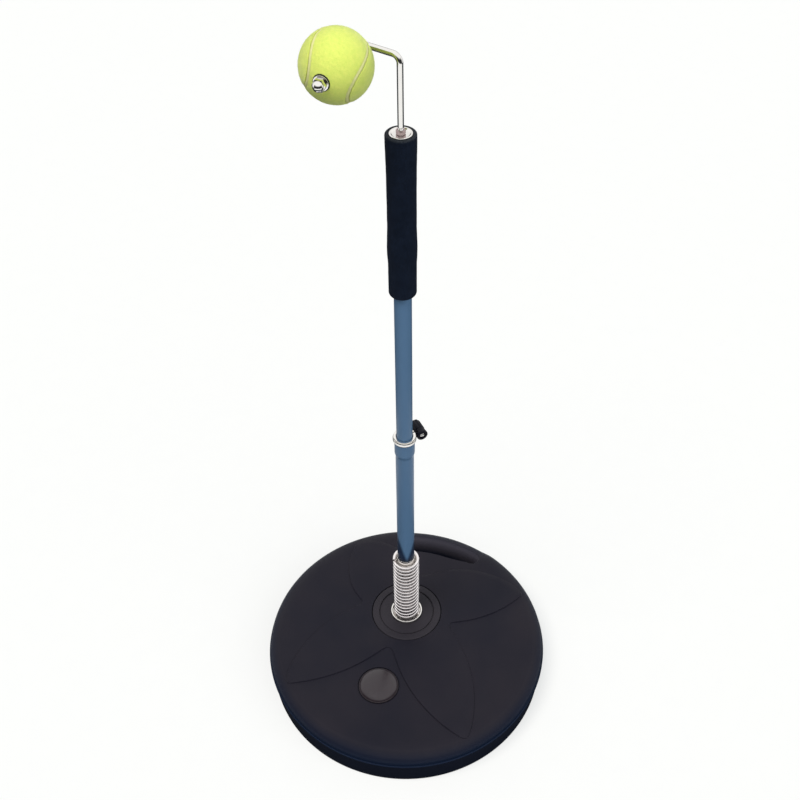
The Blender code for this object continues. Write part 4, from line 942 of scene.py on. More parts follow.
def makeSleeve():
    foot, top, radius = spanOf("spring_sleeve")
    bore, floor = sleeveSize["bore"], foot + sleeveSize["floor"]
    neck = bore + sleeveSize["neckWall"]
    corners = [(0.0, foot), (radius, foot, 0.0008), (radius, top - sleeveSize["neckFoot"], 0.0003),
               (neck, top - sleeveSize["neckLong"], 0.0003), (neck, top, 0.0003), (bore, top, 0.0003),
               (bore, floor), (0.0, floor)]
    shape = spinShape(roundCorners(corners, 5))
    sleeve = makePiece("springFerrule", shape, chromePlate, poleSpot, sharp=60)
    low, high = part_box("sleeve_pin")
    drill = drillTool("pinDrill", sleeveSize["pinBore"], -0.02, 0.02, 24, (low + high) / 2,
                      turnTo((1, 0, 0)))
    carve(sleeve, drill, sharp=60)
    settle(sleeve, "pole", "spring_sleeve")


tubeSize = {
    "radius": 0.011,
    "wall": 0.0012,
    "upperWall": 0.0011,
    "bellRadius": 0.0121,
    "bellLength": 0.0260,
    "taper": 0.0050,
    "bend": 0.012,
    "slit": 0.0024,
    "slitFoot": 0.004,          # where it starts, over the bell's foot
    "slitAngle": 26.0,
}
slitWay = levelWay(tubeSize["slitAngle"])
slitTurn = Matrix.Rotation(math.radians(tubeSize["slitAngle"]), 3, "Z")


def slitBlade(name, width, low, high, reach):
    # a plate from the pole's line outwards, to cut the slit with
    bm = bmesh.new()
    middle = Matrix.Translation((reach / 2, 0.0, (low + high) / 2))
    bmesh.ops.create_cube(bm, size=1.0, matrix=middle @ Matrix.Diagonal((reach, width, high - low, 1.0)))
    return makePiece(name, bm, None, poleSpot, slitTurn)


def makeTubes():
    foot, top, bell = spanOf("lower_tube")
    radius, wall, bend = tubeSize["radius"], tubeSize["wall"], tubeSize["bend"]
    start = top - tubeSize["bellLength"]
    below = start - tubeSize["taper"]
    corners = [(radius - wall, foot), (radius, foot, 0.0003), (radius, below, bend), (bell, start, bend),
               (bell, top, 0.0004), (bell - wall, top, 0.0004), (bell - wall, start, bend),
               (radius - wall, below, bend)]
    tube = makePiece("lowerTube", spinShape(roundCorners(corners, 6), 96), footBlue, poleSpot, sharp=50)
    slitStart = start + tubeSize["slitFoot"]
    carve(tube, slitBlade("slitTool", tubeSize["slit"], slitStart, top + over, bell + over), sharp=50)
    settle(tube, "pole", "lower_tube")
    foot, top, radius = spanOf("upper_tube")
    inner = radius - tubeSize["upperWall"]
    corners = [(inner, foot, 0.0003), (radius, foot, 0.0003), (radius, top, 0.0003), (inner, top, 0.0003)]
    addTurned("upperTube", corners, tubeBlue, "mast", "upper_tube", poleSpot, sharp=50)


collarSize = {
    "wall": 0.0008,
    "bead": 0.0005,             # two of them, with a groove at the upper one
    "lip": 0.0010,
    "slit": 0.0016,
    "raise": 0.0020,            # how much shorter the band is than the node's, from below
    "earThick": 0.0012,
    "reach": 0.0246,            # of the ears, from the pole
    "earRound": 0.0034,
    "earEdge": 0.00035,
    "bolt": 0.0208,             # from the pole
    "boltRadius": 0.0025,
}
collarFoot, collarTop = spanOf("clamp_collar")[:2]
boltWay = levelWay(tubeSize["slitAngle"] - 90.0)        # from the knob towards the bolt's head
boltTurn = turnTo(boltWay)
boltPlace = poleSpot + slitWay * collarSize["bolt"] + Vector((0.0, 0.0, (collarFoot + collarTop) / 2))
boltBore = collarSize["boltRadius"] + gap
earFace = collarSize["slit"] / 2 + collarSize["earThick"]       # from the slit's middle
knobEnd = -(earFace + gap)


def earPlate(inner):
    # both ears as one flat tongue with rounded corners
    tall, middle = collarTop - collarFoot - 2 * collarSize["bead"], (collarTop + collarFoot) / 2
    reach, size = collarSize["reach"], collarSize["earRound"]
    outline = [(inner + 0.0001, -tall / 2)]
    for start, side in ((-90, -1), (0, 1)):
        for turn in range(start, start + 91, 10):
            angle = math.radians(turn)
            height = side * (tall / 2 - size) + size * math.sin(angle)
            outline.append((reach - size * (1 - math.cos(angle)), height))
    outline += [(inner + 0.0001, tall / 2)]
    loops = [[(x, side, middle + z) for x, z in outline] for side in (-earFace, earFace)]
    plate = makePiece("earPlate", stackLoops(loops), None, poleSpot, slitTurn)
    edge = plate.modifiers.new("edges", "BEVEL")
    edge.width = collarSize["earEdge"]
    edge.segments = 2
    edge.limit_method = "ANGLE"
    edge.angle_limit = math.radians(40)
    edge.harden_normals = False
    bakeMesh(plate, 35.0)
    return plate


def makeCollar():
    inner = tubeSize["bellRadius"] + gap
    outer = inner + collarSize["wall"]
    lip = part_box("upper_tube")[1].x + 2 * gap
    top, under = collarTop, collarTop - collarSize["lip"]
    low, crest = collarFoot + collarSize["raise"], outer + collarSize["bead"] + 0.0002
    corners = [
        (inner, low), (outer + 0.0002, low, 0.0003), (crest, low + 0.0011, 0.0009),
        (crest, top - 0.0026, 0.0009), (outer + 0.0002, top - 0.0017, 0.0002),
        (outer - 0.0005, top - 0.0017), (outer - 0.0005, top - 0.0007), (outer, top - 0.0007, 0.0002),
        (outer - 0.0001, top, 0.0004), (lip, top, 0.0004), (lip, under), (inner, under),
    ]
    collar = makePiece("clampBand", spinShape(roundCorners(corners), 96), chromePlate, poleSpot, sharp=50)
    carve(collar, earPlate(inner), how="UNION", sharp=50)
    reach = collarSize["reach"] + over
    slit = slitBlade("bandSlit", collarSize["slit"], collarFoot - over, top + over, reach)
    carve(collar, slit, drillTool("earDrill", boltBore, -0.01, 0.01, 32, boltPlace, boltTurn), sharp=50)
    # the ears are black from just outside the band
    collar.data.materials.append(knobPlastic)
    for part in collar.data.polygons:
        if math.hypot(part.center.x, part.center.y) > crest + 0.0004:
            part.material_index = 1
    settle(collar, "pole", "clamp_collar")


screwSize = {
    "head": 0.0036,
    "headHigh": 0.0020,
    "thread": 0.0008,           # pitch
    "root": 0.86,               # radius between the threads, in shares of the bolt's
    "cup": 0.0068,
    "cupFloor": 0.0012,
    "cupSink": 0.0003,          # how far the head lies in the cup
    "skirt": 0.0052,            # inner radius of the skirt over the ears
    "skirtMouth": 52.0,         # degrees it is open to each side, towards the pole
}
knobSize = {
    "radius": 0.0068,
    "length": 0.0152,
    "flutes": 8,
    "flute": 0.0007,
    "bore": 0.0115,             # its depth
    "insert": 0.0042,
    "insertLength": 0.0065,
    "washer": 0.0052,
    "washerThick": 0.0010,
}


def makeScrew():
    # round-headed screw: its head is at the front, its thread runs back into the knob
    radius = collarSize["boltRadius"]
    root, crest, pitch = radius * screwSize["root"], radius * 0.995, screwSize["thread"]
    tip = knobEnd - knobSize["bore"] + 2 * gap
    head = earFace + gap + screwSize["cupFloor"] + gap
    points = [(0.0, tip), (radius * 0.7, tip), (root, tip + 0.0004)]
    start, stop = tip + 0.0006, -earFace * 0.6
    for k in range(int((stop - start) / pitch)):
        z = start + k * pitch
        points += [(root, z), (crest, z + pitch * 0.45), (crest, z + pitch * 0.55)]
    points += [(root, stop + 0.0002), (radius, stop + 0.0005), (radius, head)]
    points += [(screwSize["head"] - 0.0002, head), (screwSize["head"], head + 0.0003)]
    points += domeArc(screwSize["head"], head + 0.0004, screwSize["headHigh"] - 0.0004, 8)[1:]
    screw = makePiece("clampScrew", spinShape(points, 48), chromePlate, boltPlace, boltTurn, sharp=40)
    settle(screw, "pole", "clamp_bolt")


def makeScrewCup():
    # black cup round the screw's head, with a skirt over the ears' free ends that is open to the pole
    foot = earFace + gap
    head = foot + screwSize["cupFloor"] + gap
    wide, seat = screwSize["cup"], screwSize["head"] + gap
    rim = head + screwSize["headHigh"] + screwSize["cupSink"]
    corners = [(boltBore, foot), (wide, foot, 0.0005), (wide, rim, 0.0012), (seat, rim, 0.0004),
               (seat, head - gap), (boltBore, head - gap)]
    cup = makePiece("screwCup", spinShape(roundCorners(corners, 5), 64), knobPlastic, boltPlace, boltTurn)
    toPole = boltTurn.inverted() @ (poleSpot + Vector((0.0, 0.0, boltPlace.z)) - boltPlace)
    middle, mouth = math.degrees(math.atan2(toPole.y, toPole.x)), screwSize["skirtMouth"]
    section = ((screwSize["skirt"], -earFace), (wide - 0.0003, -earFace), (wide - 0.0003, foot + 0.0006),
               (screwSize["skirt"], foot + 0.0006))
    loops = [[(*(levelWay(angle).xy * radius), height) for radius, height in section]
             for angle in np.linspace(middle + mouth, middle + 360.0 - mouth, 41)]
    carve(cup, makePiece("screwSkirt", stackLoops(loops), knobPlastic, boltPlace, boltTurn), how="UNION")
    settle(cup, "pole", "bolt_cup")


def knobLoops():
    # depth from the knob's flat end, and share of its radius; the flutes fade out towards its ends
    long, flutes = knobSize["length"], knobSize["flutes"]
    outline = [(0.0, 0.90), (0.00015, 0.93), (0.0005, 0.97), (0.0010, 1.0), (long * 0.5, 1.0),
               (long - 0.0030, 1.0), (long - 0.0016, 0.97), (long - 0.0007, 0.90), (long - 0.0002, 0.80),
               (long, 0.70), (long - 0.0001, 0.45), (long - 0.0006, 0.40), (long - 0.0007, 0.15)]
    count = flutes * 14
    loops = []
    for depth, share in outline:
        fade = min(max((share - 0.75) / 0.25, 0.0), 1.0)
        loop = []
        for k in range(count):
            angle = math.tau * k / count
            size = knobSize["radius"] * share
            size -= knobSize["flute"] * (0.5 + 0.5 * math.cos(flutes * angle)) ** 1.5 * fade
            loop.append(onCircle(size, angle, knobEnd - depth))
        loops.append(loop)
    return loops


def makeKnob():
    floorEnd = knobEnd - knobSize["washerThick"] - gap
    washerFoot, boreEnd = knobEnd - knobSize["washerThick"], knobEnd - knobSize["bore"]
    insertEnd = floorEnd - knobSize["insertLength"]
    bore, insert, washer = boltBore, knobSize["insert"], knobSize["washer"]
    corners = [(bore, washerFoot, 0.0001), (washer, washerFoot, 0.0003), (washer, knobEnd, 0.0002),
               (bore, knobEnd, 0.0001)]
    addTurned("knobWasher", corners, zincSteel, "pole", "knob_washer", boltPlace, boltTurn,
              steps=48, sharp=35)
    knob = makePiece("clampKnob", stackLoops(knobLoops()), knobPlastic, boltPlace, boltTurn, sharp=60)
    core = [(0.0, boreEnd), (bore, boreEnd), (bore, insertEnd - gap), (insert + gap, insertEnd - gap),
            (insert + gap, floorEnd), (washer + gap, floorEnd), (washer + gap, 0.0), (0.0, 0.0)]
    carve(knob, makePiece("knobDrill", spinShape(core, 48), None, boltPlace, boltTurn), sharp=50)
    settle(knob, "knob", "clamp_knob")
    corners = [(bore, insertEnd, 0.0002), (insert, insertEnd, 0.0002), (insert, floorEnd - gap, 0.0002),
               (bore, floorEnd - gap, 0.0004)]
    addTurned("knobBrass", corners, turnedBrass, "knob", "knob_insert", boltPlace, boltTurn,
              steps=48, sharp=35)


makeSleeve()
makeTubes()
makeCollar()
makeScrew()
makeScrewCup()
makeKnob()
print("tubes and clamp made")


# Grip and head

gripSize = {
    "footRound": 0.0055,
    "topRound": 0.0034,
    "swell": 0.0007,
    "swellHeight": 0.053,                           # over the grip's foot
    "swellRun": (-0.014, -0.003, 0.007, 0.030),     # it starts, is full, and ends there
    "flareRun": (0.045, 0.010),                     # the same under the top
    "facet": 0.004,                                 # height of one band of faces
    "dents": 0.00016,
    "dentScales": (70.0, 230.0),
}


def makeGrip():
    foot, top, full = spanOf("foam_grip")
    body, flared = full - gripSize["swell"], full - 0.0001
    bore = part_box("upper_tube")[1].x + gap
    seat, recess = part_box("head_disc")[0].z - gap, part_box("head_disc")[1].x + gap
    swell = [foot + gripSize["swellHeight"] + run for run in gripSize["swellRun"]]
    corners = [(bore, foot, 0.0006), (body, foot, gripSize["footRound"]), (body, swell[0]),
               (full, swell[1], 0.01), (full, swell[2], 0.01), (body, swell[3], 0.02),
               (body, top - gripSize["flareRun"][0], 0.02), (flared, top - gripSize["flareRun"][1], 0.01),
               (flared, top, gripSize["topRound"]), (recess, top, 0.0009), (recess, seat, 0.0003),
               (bore, seat)]
    points = roundCorners(corners, 6)
    fine = [points[0]]
    for first, second in zip(points, points[1:]):
        parts = max(1, int(abs(second[1] - first[1]) / gripSize["facet"]))
        for k in range(1, parts + 1):
            fine.append(tuple(a + (b - a) * k / parts for a, b in zip(first, second)))
    grip = makePiece("gripSleeve", spinShape(fine, 120), gripFoam, poleSpot, sharp=60)
    # hand-worn: shallow dents and a slow waver, only on the outer face
    coarse, small = gripSize["dentScales"]
    for vert in grip.data.vertices:
        radial = Vector((vert.co.x, vert.co.y, 0.0))
        if radial.length < bore + 0.003:
            continue
        wave = noise.noise(vert.co * coarse) + 0.5 * noise.noise(vert.co * small)
        vert.co -= radial.normalized() * gripSize["dents"] * (0.8 + wave)
    settle(grip, "mast", "foam_grip")


headSize = {"bore": 0.0028, "plate": 0.0012, "rim": 0.0016, "slope": 0.0030, "seat": 0.0042,
            "seatEdge": 0.0046, "seatSink": 0.0001}


def makeHeadDisc():
    foot, top, radius = spanOf("head_disc")
    bore, plate = headSize["bore"], foot + headSize["plate"]
    sunk = plate - headSize["seatSink"]
    corners = [(bore, foot), (radius, foot, 0.0003), (radius, top, 0.0006),
               (radius - headSize["rim"], top, 0.0006), (radius - headSize["slope"], plate, 0.0010),
               (headSize["seatEdge"], plate, 0.0004), (headSize["seat"], sunk, 0.0002), (bore, sunk)]
    addTurned("headDish", corners, chromePlate, "mast", "head_disc", poleSpot, easing=5)


makeGrip()
makeHeadDisc()
print("grip and head made")


# Rod and its nuts

rodSize = {
    "radius": 0.0030,
    "stud": 0.0025,             # radius of its threaded foot
    "thread": 0.0004,           # half of the pitch
    "threadRoot": 0.87,         # radius between the threads, in shares of the stud's
    "height": 0.8890,
    "bend": 0.0075,
    "backBend": 0.0060,
    "leg": 0.0463,
    "legAngle": 147.0,
    "axleAngle": 250.0,
    "axleEnd": 0.0388,          # from the ball's middle
    "ballBehind": 0.0460,       # from the back bend to the ball's middle
}
nutSize = {
    "chamfer": 0.0004,
    "slope": 28.0,              # degrees at which the corners are turned off
    "turned": 0.985,            # where that starts, in shares of half the width over the flats
    "face": 0.97,               # how far the flat end reaches, in the same
    "rodFlats": 0.008,
    "stopFlats": 0.010,
    "stopThick": 0.0027,
    "capFlats": 0.011,
    "capThick": 0.0048,
    "foot": 0.0340,             # of the cap nut and the stop nut, from the ball's middle
    "domeRadius": 0.0051,
    "domeHigh": 0.0048,
    "washer": 0.0072,
    "washerSpan": (0.0327, 0.0337),
}
legWay, axleWay = levelWay(rodSize["legAngle"]), levelWay(rodSize["axleAngle"])
rodCorner = poleSpot + legWay * rodSize["leg"] + Vector((0.0, 0.0, rodSize["height"]))
ballPlace = rodCorner + axleWay * rodSize["ballBehind"]
ballTurn = turnTo(axleWay)


def roundBend(corner, before, after, radius):
    turn, steps = before.angle(after), 16
    start = corner - before * radius * math.tan(turn / 2)
    axis = before.cross(after).normalized()
    middle = start + axis.cross(before) * radius
    arm = start - middle
    return [middle + Matrix.Rotation(turn * k / steps, 3, axis) @ arm for k in range(steps + 1)]


def makeRod():
    foot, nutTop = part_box("swing_rod")[0].z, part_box("rod_lock_nut")[1].z
    stud = rodSize["stud"] / rodSize["radius"]
    heights, shares = [foot, foot + 0.0006], [stud * 0.85, stud]
    height = foot + 0.0008
    while height < nutTop + 0.0012:             # threaded up to just over the nut
        for share in (stud * rodSize["threadRoot"], stud):
            heights.append(height)
            shares.append(share)
            height += rodSize["thread"]
    heights += [height, height + 0.0006]
    shares += [stud * 0.9, 1.0]
    up = Vector((0.0, 0.0, 1.0))
    bends = roundBend(up * rodSize["height"], up, legWay, rodSize["bend"])
    bends += roundBend(rodCorner - poleSpot, legWay, axleWay, rodSize["backBend"])
    reach = rodSize["axleEnd"] - gap
    bends += [ballPlace - poleSpot + axleWay * out for out in (reach - 0.0006, reach)]
    shares += [1.0] * (len(bends) - 1) + [0.85]
    line = [Vector((0.0, 0.0, z)) for z in heights] + bends
    bar = sweepRound(line, rodSize["radius"], 40, shares)
    rod = makePiece("bentRod", bar, chromePlate, poleSpot, sharp=40)
    settle(rod, "arm", "swing_rod")


def hexNut(flats, low, high, bore):
    # six-sided nut: its corners are turned off at both ends, its bore is countersunk
    half, chamfer = flats / 2, nutSize["chamfer"]
    slope = math.tan(math.radians(nutSize["slope"]))
    face = half * nutSize["face"]
    bm = bmesh.new()
    rings = []
    for size, end, inwards in (
            (bore, low + chamfer, 0), (bore + chamfer, low, 0), (face, low, 0), (None, low, 1),
            (None, high, -1), (face, high, 0), (bore + chamfer, high, 0), (bore, high - chamfer, 0)):
        ring = []
        for k in range(96):
            turn = math.radians(3.75 * k)
            corner = half / math.cos(turn % math.radians(60) - math.radians(30))
            height = end + inwards * max(0.0, corner - half * nutSize["turned"]) * slope
            ring.append(bm.verts.new(onCircle(size or corner, turn, height)))
        rings.append(ring)
    joinRings(bm, rings + rings[:1])
    return bm


def makeNuts():
    stud, bore = rodSize["stud"] + gap, rodSize["radius"] + gap
    for name, finish, slotName, node in (("lockNut", nutChrome, "chrome", "rod_lock_nut"),
                                         ("innerNut", zincSteel, "steel", "rod_inner_nut")):
        foot, top = spanOf(node)[:2]
        nut = makePiece(name, hexNut(nutSize["rodFlats"], foot, top, stud), finish, poleSpot, sharp=30)
        settle(nut, "arm", node)
    foot = nutSize["foot"]
    nut = hexNut(nutSize["stopFlats"], -(foot + nutSize["stopThick"]), -foot, bore)
    settle(makePiece("stopNut", nut, zincSteel, ballPlace, ballTurn, sharp=30), "arm", "stop_nut")
    wide = nutSize["washer"]
    near, far = nutSize["washerSpan"]
    for name, node, slotName, finish, low, high in (
            ("backWasher", "rear_washer", "steel", zincSteel, -far, -near),
            ("frontWasher", "front_washer", "chrome", chromePlate, near, far)):
        corners = [(bore, low, 0.0001), (wide, low, 0.0003), (wide, high, 0.0003), (bore, high, 0.0001)]
        addTurned(name, corners, finish, "arm", node, ballPlace, ballTurn, steps=64, sharp=35)


def makeCapNut():
    bore, foot = rodSize["radius"] + gap, nutSize["foot"]
    nut = hexNut(nutSize["capFlats"], foot, foot + nutSize["capThick"], bore)
    cap = makePiece("capNut", nut, chromePlate, ballPlace, ballTurn, sharp=30)
    dome = [(0.0, foot + 0.0040), (nutSize["domeRadius"] - 0.0001, foot + 0.0040)]
    dome += domeArc(nutSize["domeRadius"], foot + 0.0050, nutSize["domeHigh"], 12)
    domeTop = makePiece("domeTop", spinShape(dome, 64), chromePlate, ballPlace, ballTurn)
    carve(cap, domeTop, how="UNION", sharp=30)
    end = rodSize["axleEnd"] + gap
    carve(cap, drillTool("capDrill", bore, foot - 0.002, end, 40, ballPlace, ballTurn), sharp=30)
    settle(cap, "arm", "dome_nut")


makeRod()
makeNuts()
makeCapNut()
print("rod and nuts made")


# Ball

ballSize = {
    "radius": 0.0330,
    "felt": 0.0033,
    "nap": ((0.00016, 38.0), (0.00010, 110.0)),     # height and scale of its unevenness
    "feltEdge": 0.0016,                 # it is rounded over this width beside the seam
    "seam": 0.0033,
    "seamSink": 0.0002,
    "seamBend": 0.44,
    "seamWobble": 0.06,                 # how uneven its width is
    "seamTurn": (-2.8, -17.0, 116.7),   # degrees about X, Y and Z
    "hub": 0.0055,
    "flange": 0.0081,
    "flangeSeat": 0.0313,
}
fibreSize = {"count": 4500, "length": 0.0012, "thick": 0.000045, "root": 0.0002, "droop": 0.3, "seed": 7}
turnX, turnY, turnZ = [Matrix.Rotation(math.radians(angle), 3, axis)
                       for angle, axis in zip(ballSize["seamTurn"], "XYZ")]
seamTurn = turnZ @ turnY @ turnX


def seamTable(count):
    # points of the seam's curve on a globe of radius 1
    swing = ballSize["seamBend"] / 2
    flat = 1.0 - swing
    points = []
    for k in range(count):
        turn = math.tau * k / count
        points.append((flat * math.cos(turn) + swing * math.cos(3 * turn),
                       flat * math.sin(turn) - swing * math.sin(3 * turn),
                       2 * math.sqrt(flat * swing) * math.sin(2 * turn)))
    table = np.array(points)
    return table / np.linalg.norm(table, axis=1)[:, None]


def hubTools():
    # the hub's bore and the seats of its flanges
    wide, seat = ballSize["flange"], ballSize["flangeSeat"]
    spans = (("hubDrill", ballSize["hub"], -0.05, 0.05), ("seatFront", wide, seat, 0.04),
             ("seatBack", wide, -0.04, -seat))
    return [drillTool(name, radius, low, high, 48, ballPlace, ballTurn)
            for name, radius, low, high in spans]


def makeSeam():
    count = 480
    centres = seamTable(count)
    half = ballSize["seam"] / 2
    low, high = ballSize["radius"] - ballSize["felt"], ballSize["radius"] - ballSize["seamSink"]
    section = [(-half + gap * 0.3, low), (half - gap * 0.3, low), (half - gap * 0.2, high - 0.0005),
               (half * 0.55, high - 0.0001), (0.0, high), (-half * 0.55, high - 0.0001),
               (-half + gap * 0.2, high - 0.0005)]
    bm = bmesh.new()
    rings = []
    for k in range(count):
        out = Vector(centres[k])
        along = Vector(centres[(k + 1) % count] - centres[k - 1]).normalized()
        side = out.cross(along).normalized()
        wobble = 1.0 + ballSize["seamWobble"] * math.sin(k * 0.9) * math.sin(k * 0.23)
        rings.append([bm.verts.new(out * radius + side * across * wobble) for across, radius in section])
    joinRings(bm, rings + rings[:1])
    seam = makePiece("ballSeam", bm, seamRubber, ballPlace, ballTurn @ seamTurn, sharp=60)
    carve(seam, *hubTools(), sharp=60)
    settle(seam, "ball", "ball_seam")


def addFibres(half):
    # loose wool: short curved three-sided hairs, closed, each rooted in the felt
    rng = np.random.default_rng(fibreSize["seed"])
    spots = [vert.co.copy() for vert in half.data.vertices if vert.co.length > ballSize["radius"] - 0.0001]
    bm = bmesh.new()
    bm.from_mesh(half.data)
    thick, root, droop = fibreSize["thick"], fibreSize["root"], fibreSize["droop"]
    for pick in rng.choice(len(spots), fibreSize["count"]):
        out = spots[pick].normalized()
        lean = out.cross(Vector(rng.normal(size=3))).normalized()
        side = out.cross(lean)
        reach = fibreSize["length"] * rng.uniform(0.5, 1.0)
        tilt, curl = rng.uniform(0.5, 1.3), rng.uniform(-0.6, 0.6)
        start = spots[pick] - out * root + lean * rng.uniform(-root, root)
        rings = []
        for share, size in ((0.0, 1.0), (0.5, 0.8), (0.85, 0.45)):
            centre = start + out * reach * share * (1 - droop * share * tilt)
            centre += lean * reach * tilt * share * share
            centre += side * reach * curl * share * share
            rings.append([bm.verts.new(centre + (lean * math.cos(a) + side * math.sin(a)) * thick * size)
                          for a in (0.0, math.tau / 3, math.tau * 2 / 3)])
        tip = start + out * reach * (1 - droop * tilt) + lean * reach * tilt + side * reach * curl
        joinRings(bm, rings + [[bm.verts.new(tip)]])
        bm.faces.new(rings[0][::-1])
    bm.to_mesh(half.data)
    bm.free()
    smoothOver(half.data, 70)


def seamDistance(spots):
    # each spot's angle from the seam's curve, and the side it lies on
    centres = seamTable(720)
    nearest = np.zeros(len(spots), int)
    distance = np.zeros(len(spots))
    for k in range(0, len(spots), 4000):        # in portions, to spare memory
        dots = spots[k:k + 4000] @ centres.T
        nearest[k:k + 4000] = dots.argmax(axis=1)
        distance[k:k + 4000] = np.arccos(np.clip(dots.max(axis=1), -1, 1))
    sides = np.cross(centres, np.roll(centres, -1, axis=0) - np.roll(centres, 1, axis=0))
    return distance, np.einsum("ij,ij->i", spots - centres[nearest], sides[nearest]) > 0


def makeFeltHalf(name, node, wanted):
    # a fine globe cut off at the seam, rounded there, and closed by an inner face on the core
    bm = bmesh.new()
    bmesh.ops.create_icosphere(bm, subdivisions=7, radius=1.0)
    spots = np.array([tuple(vert.co.normalized()) for vert in bm.verts])
    radius = ballSize["radius"]
    halfSeam = ballSize["seam"] / 2 / radius
    gone = []
    for vert, way, near, kind in zip(bm.verts, spots, *seamDistance(spots)):
        way = Vector(way)
        arc = (near - halfSeam) * radius if kind == wanted else -(near + halfSeam) * radius
        if arc <= 0.0:
            gone.append(vert)
            continue
        nap = sum(size * noise.noise(way * scale) for size, scale in ballSize["nap"])
        dip = 1.0 - min(arc / ballSize["feltEdge"], 1.0)
        vert.co = way * (radius - ballSize["seamSink"] * 1.2 * (1 - math.sqrt(1 - dip ** 2)) + nap)
    bmesh.ops.delete(bm, geom=gone, context="VERTS")
    inner = bmesh.ops.duplicate(bm, geom=bm.verts[:] + bm.edges[:] + bm.faces[:])
    pairs = inner["vert_map"]
    copies = {item for item in inner["geom"] if isinstance(item, bmesh.types.BMVert)}
    for vert in copies:
        vert.co = vert.co.normalized() * (radius - ballSize["felt"] + 0.00005)
    flipped = [item for item in inner["geom"] if isinstance(item, bmesh.types.BMFace)]
    bmesh.ops.reverse_faces(bm, faces=flipped)
    for edge in [edge for edge in bm.edges if edge.is_boundary and edge.verts[0] not in copies]:
        a, b = edge.verts
        bm.faces.new((a, b, pairs[b], pairs[a]))
    felt = makePiece(name, bm, ballFelt, ballPlace, ballTurn @ seamTurn, sharp=70)
    carve(felt, *hubTools(), sharp=70)
    addFibres(felt)
    settle(felt, "ball", node)


makeSeam()
makeFeltHalf("feltOne", "ball_felt_one", True)
makeFeltHalf("feltTwo", "ball_felt_two", False)
print("ball made")


# Stage, lamps and camera

stageSize = {
    "floor": 6.0,
    "floorDrop": 0.0004,                    # keeps it clear of the base
    "floorColor": (0.25, 0.25, 0.248),      # what the floor gives back to the object
    "floorGlow": 0.682,                     # on top of that, only for the camera
    "mirrorDark": (0.04, 0.045, 0.05),      # the floor's colour in reflections
    "mirrorGlow": 0.930,                    # its glow there, on two rings; the far one only in front
    "mirrorNear": (0.240, 0.270, 0.430, 0.460),
    "mirrorFar": (1.10, 1.22, 2.50, 2.80),
    "mirrorSides": (-0.38, -0.18),
    "world": 0.32,                          # strength and colour of what lights the object
    "worldTint": (0.82, 0.98, 0.98),
    "mirrorFront": 0.03,                    # reflections find the room in front this dark, up to a height
    "mirrorRise": (0.27, 0.57),
    "mirrorTurn": (-0.25, 0.05),
}
sunLamps = {
    "key": {"from": (-0.34, -0.32, 1.0), "strength": 2.50, "spread": 30.0, "color": (1.0, 0.965, 0.91)},
    "fill": {"from": (0.80, -0.90, 0.70), "strength": 1.55, "spread": 60.0, "color": (0.97, 1.0, 0.98)},
}
cameraSize = {
    "place": (0.0158, -0.8717, 1.3517),
    "down": 44.27,                          # degrees under the level
    "lens": 50.17,
    "sensor": 36.0,
    "shift": (-0.0225, 0.00175),
    "near": 0.01,
}


def floorShine(tree):
    # even for the camera; reflections find it dark near the base and behind it
    rays = tree.nodes.new("ShaderNodeLightPath").outputs
    place = tree.nodes.new("ShaderNodeTexCoord").outputs["Object"]
    away = addNode(tree, "VectorMath", {0: place}, operation="LENGTH").outputs["Value"]
    near, far = band(tree, away, *stageSize["mirrorNear"]), band(tree, away, *stageSize["mirrorFar"])
    ahead = joinMath(tree, "DIVIDE", placeOn(tree)["Y"], away)
    front = spread(tree, ahead, 1.0, 0.0, *stageSize["mirrorSides"])
    rings = joinMath(tree, "MAXIMUM", near, joinMath(tree, "MULTIPLY", far, front))
    mirrored = joinMath(tree, "MULTIPLY", rings, rays["Is Glossy Ray"])
    mirrored = joinMath(tree, "MULTIPLY", mirrored, stageSize["mirrorGlow"])
    seen = joinMath(tree, "MAXIMUM", rays["Is Camera Ray"], rays["Is Transmission Ray"])
    return joinMath(tree, "MAXIMUM", joinMath(tree, "MULTIPLY", seen, stageSize["floorGlow"]), mirrored)


def makeFloor():
    bm = bmesh.new()
    half, drop, color = stageSize["floor"] / 2, stageSize["floorDrop"], stageSize["floorColor"]
    corners = ((-half, -half), (half, -half), (half, half), (-half, half))
    bm.faces.new([bm.verts.new((x, y, -drop)) for x, y in corners])
    finish, tree, sockets = startFinish("floorPaper", color, 0.8, 0.0)
    tone = mottle(tree, (0.03, 3.0), color, tuple(c * 1.02 for c in color))
    glossy = tree.nodes.new("ShaderNodeLightPath").outputs["Is Glossy Ray"]
    feed(tree, sockets["Base Color"], blendColors(tree, glossy, tone, stageSize["mirrorDark"]))
    feed(tree, sockets["Emission Color"], (1.0, 1.0, 1.0))
    feed(tree, sockets["Emission Strength"], floorShine(tree))
    floor = makePiece("floor", bm, finish)


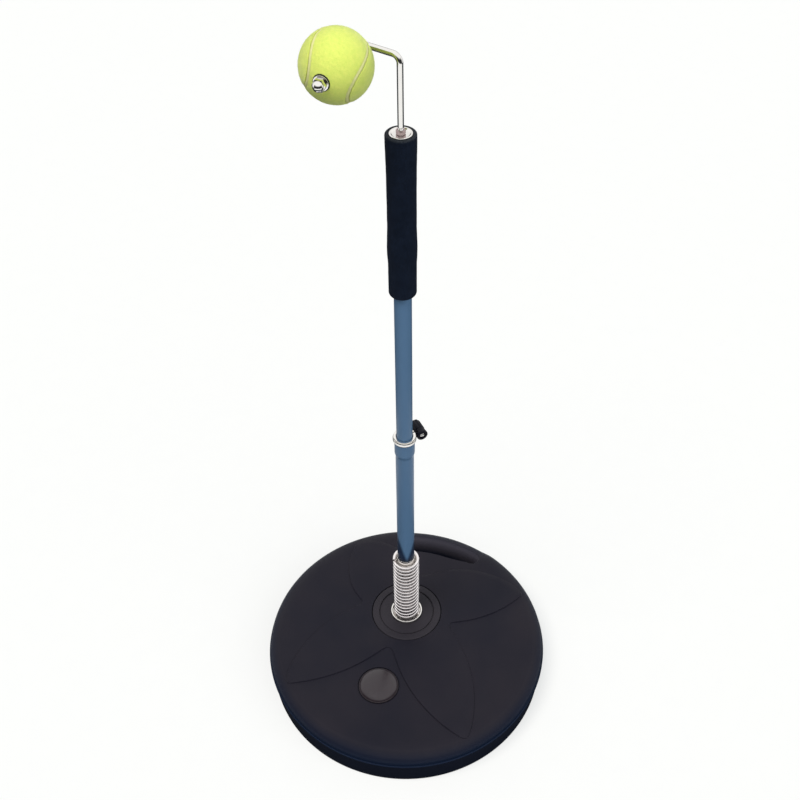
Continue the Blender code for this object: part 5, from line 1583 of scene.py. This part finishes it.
def makeRoom():
    # white for the camera; in reflections dark in front and below; dimmer and tinted as light
    world = bpy.data.worlds.new("studio")
    scene.world = world
    world.use_nodes = True
    tree = world.node_tree
    rays = tree.nodes.new("ShaderNodeLightPath").outputs
    way = placeOn(tree, "Generated")
    high = spread(tree, way["Z"], stageSize["mirrorFront"], 1.0, *stageSize["mirrorRise"])
    behind = spread(tree, way["Y"], stageSize["mirrorFront"], 1.0, *stageSize["mirrorTurn"])
    mirrored = joinMath(tree, "MULTIPLY", joinMath(tree, "MAXIMUM", high, behind), rays["Is Glossy Ray"])
    whole = joinMath(tree, "MAXIMUM", rays["Is Camera Ray"], rays["Is Transmission Ray"])
    seen = joinMath(tree, "MAXIMUM", whole, rays["Is Glossy Ray"])
    light = joinMath(tree, "MULTIPLY", joinMath(tree, "SUBTRACT", 1.0, seen), stageSize["world"])
    strength = joinMath(tree, "MAXIMUM", joinMath(tree, "MAXIMUM", whole, mirrored), light)
    sockets = tree.nodes["Background"].inputs
    feed(tree, sockets["Strength"], strength)
    feed(tree, sockets["Color"], blendColors(tree, seen, stageSize["worldTint"], (1.0, 1.0, 1.0)))


def addLamp(name, lampSize):
    lamp = bpy.data.lights.new(name, "SUN")
    lamp.energy = lampSize["strength"]
    lamp.color = lampSize["color"]
    lamp.angle = math.radians(lampSize["spread"])
    holder = bpy.data.objects.new(name, lamp)
    holder.visible_glossy = False       # polished pieces mirror the room, not the lamps
    scene.collection.objects.link(holder)
    holder.rotation_euler = Vector(lampSize["from"]).to_track_quat("Z", "Y").to_euler()


def makeCamera():
    view = bpy.data.cameras.new("camera")
    view.sensor_width = cameraSize["sensor"]
    view.lens = cameraSize["lens"]
    view.shift_x, view.shift_y = cameraSize["shift"]
    view.clip_start = cameraSize["near"]
    holder = bpy.data.objects.new("camera", view)
    scene.collection.objects.link(holder)
    holder.location = cameraSize["place"]
    holder.rotation_euler = (math.radians(90.0 - cameraSize["down"]), 0.0, 0.0)
    scene.camera = holder


makeFloor()
makeRoom()
for lampName, lampSize in sunLamps.items():
    addLamp(lampName, lampSize)
makeCamera()
scene.view_settings.view_transform = "Standard"
print("stage set")
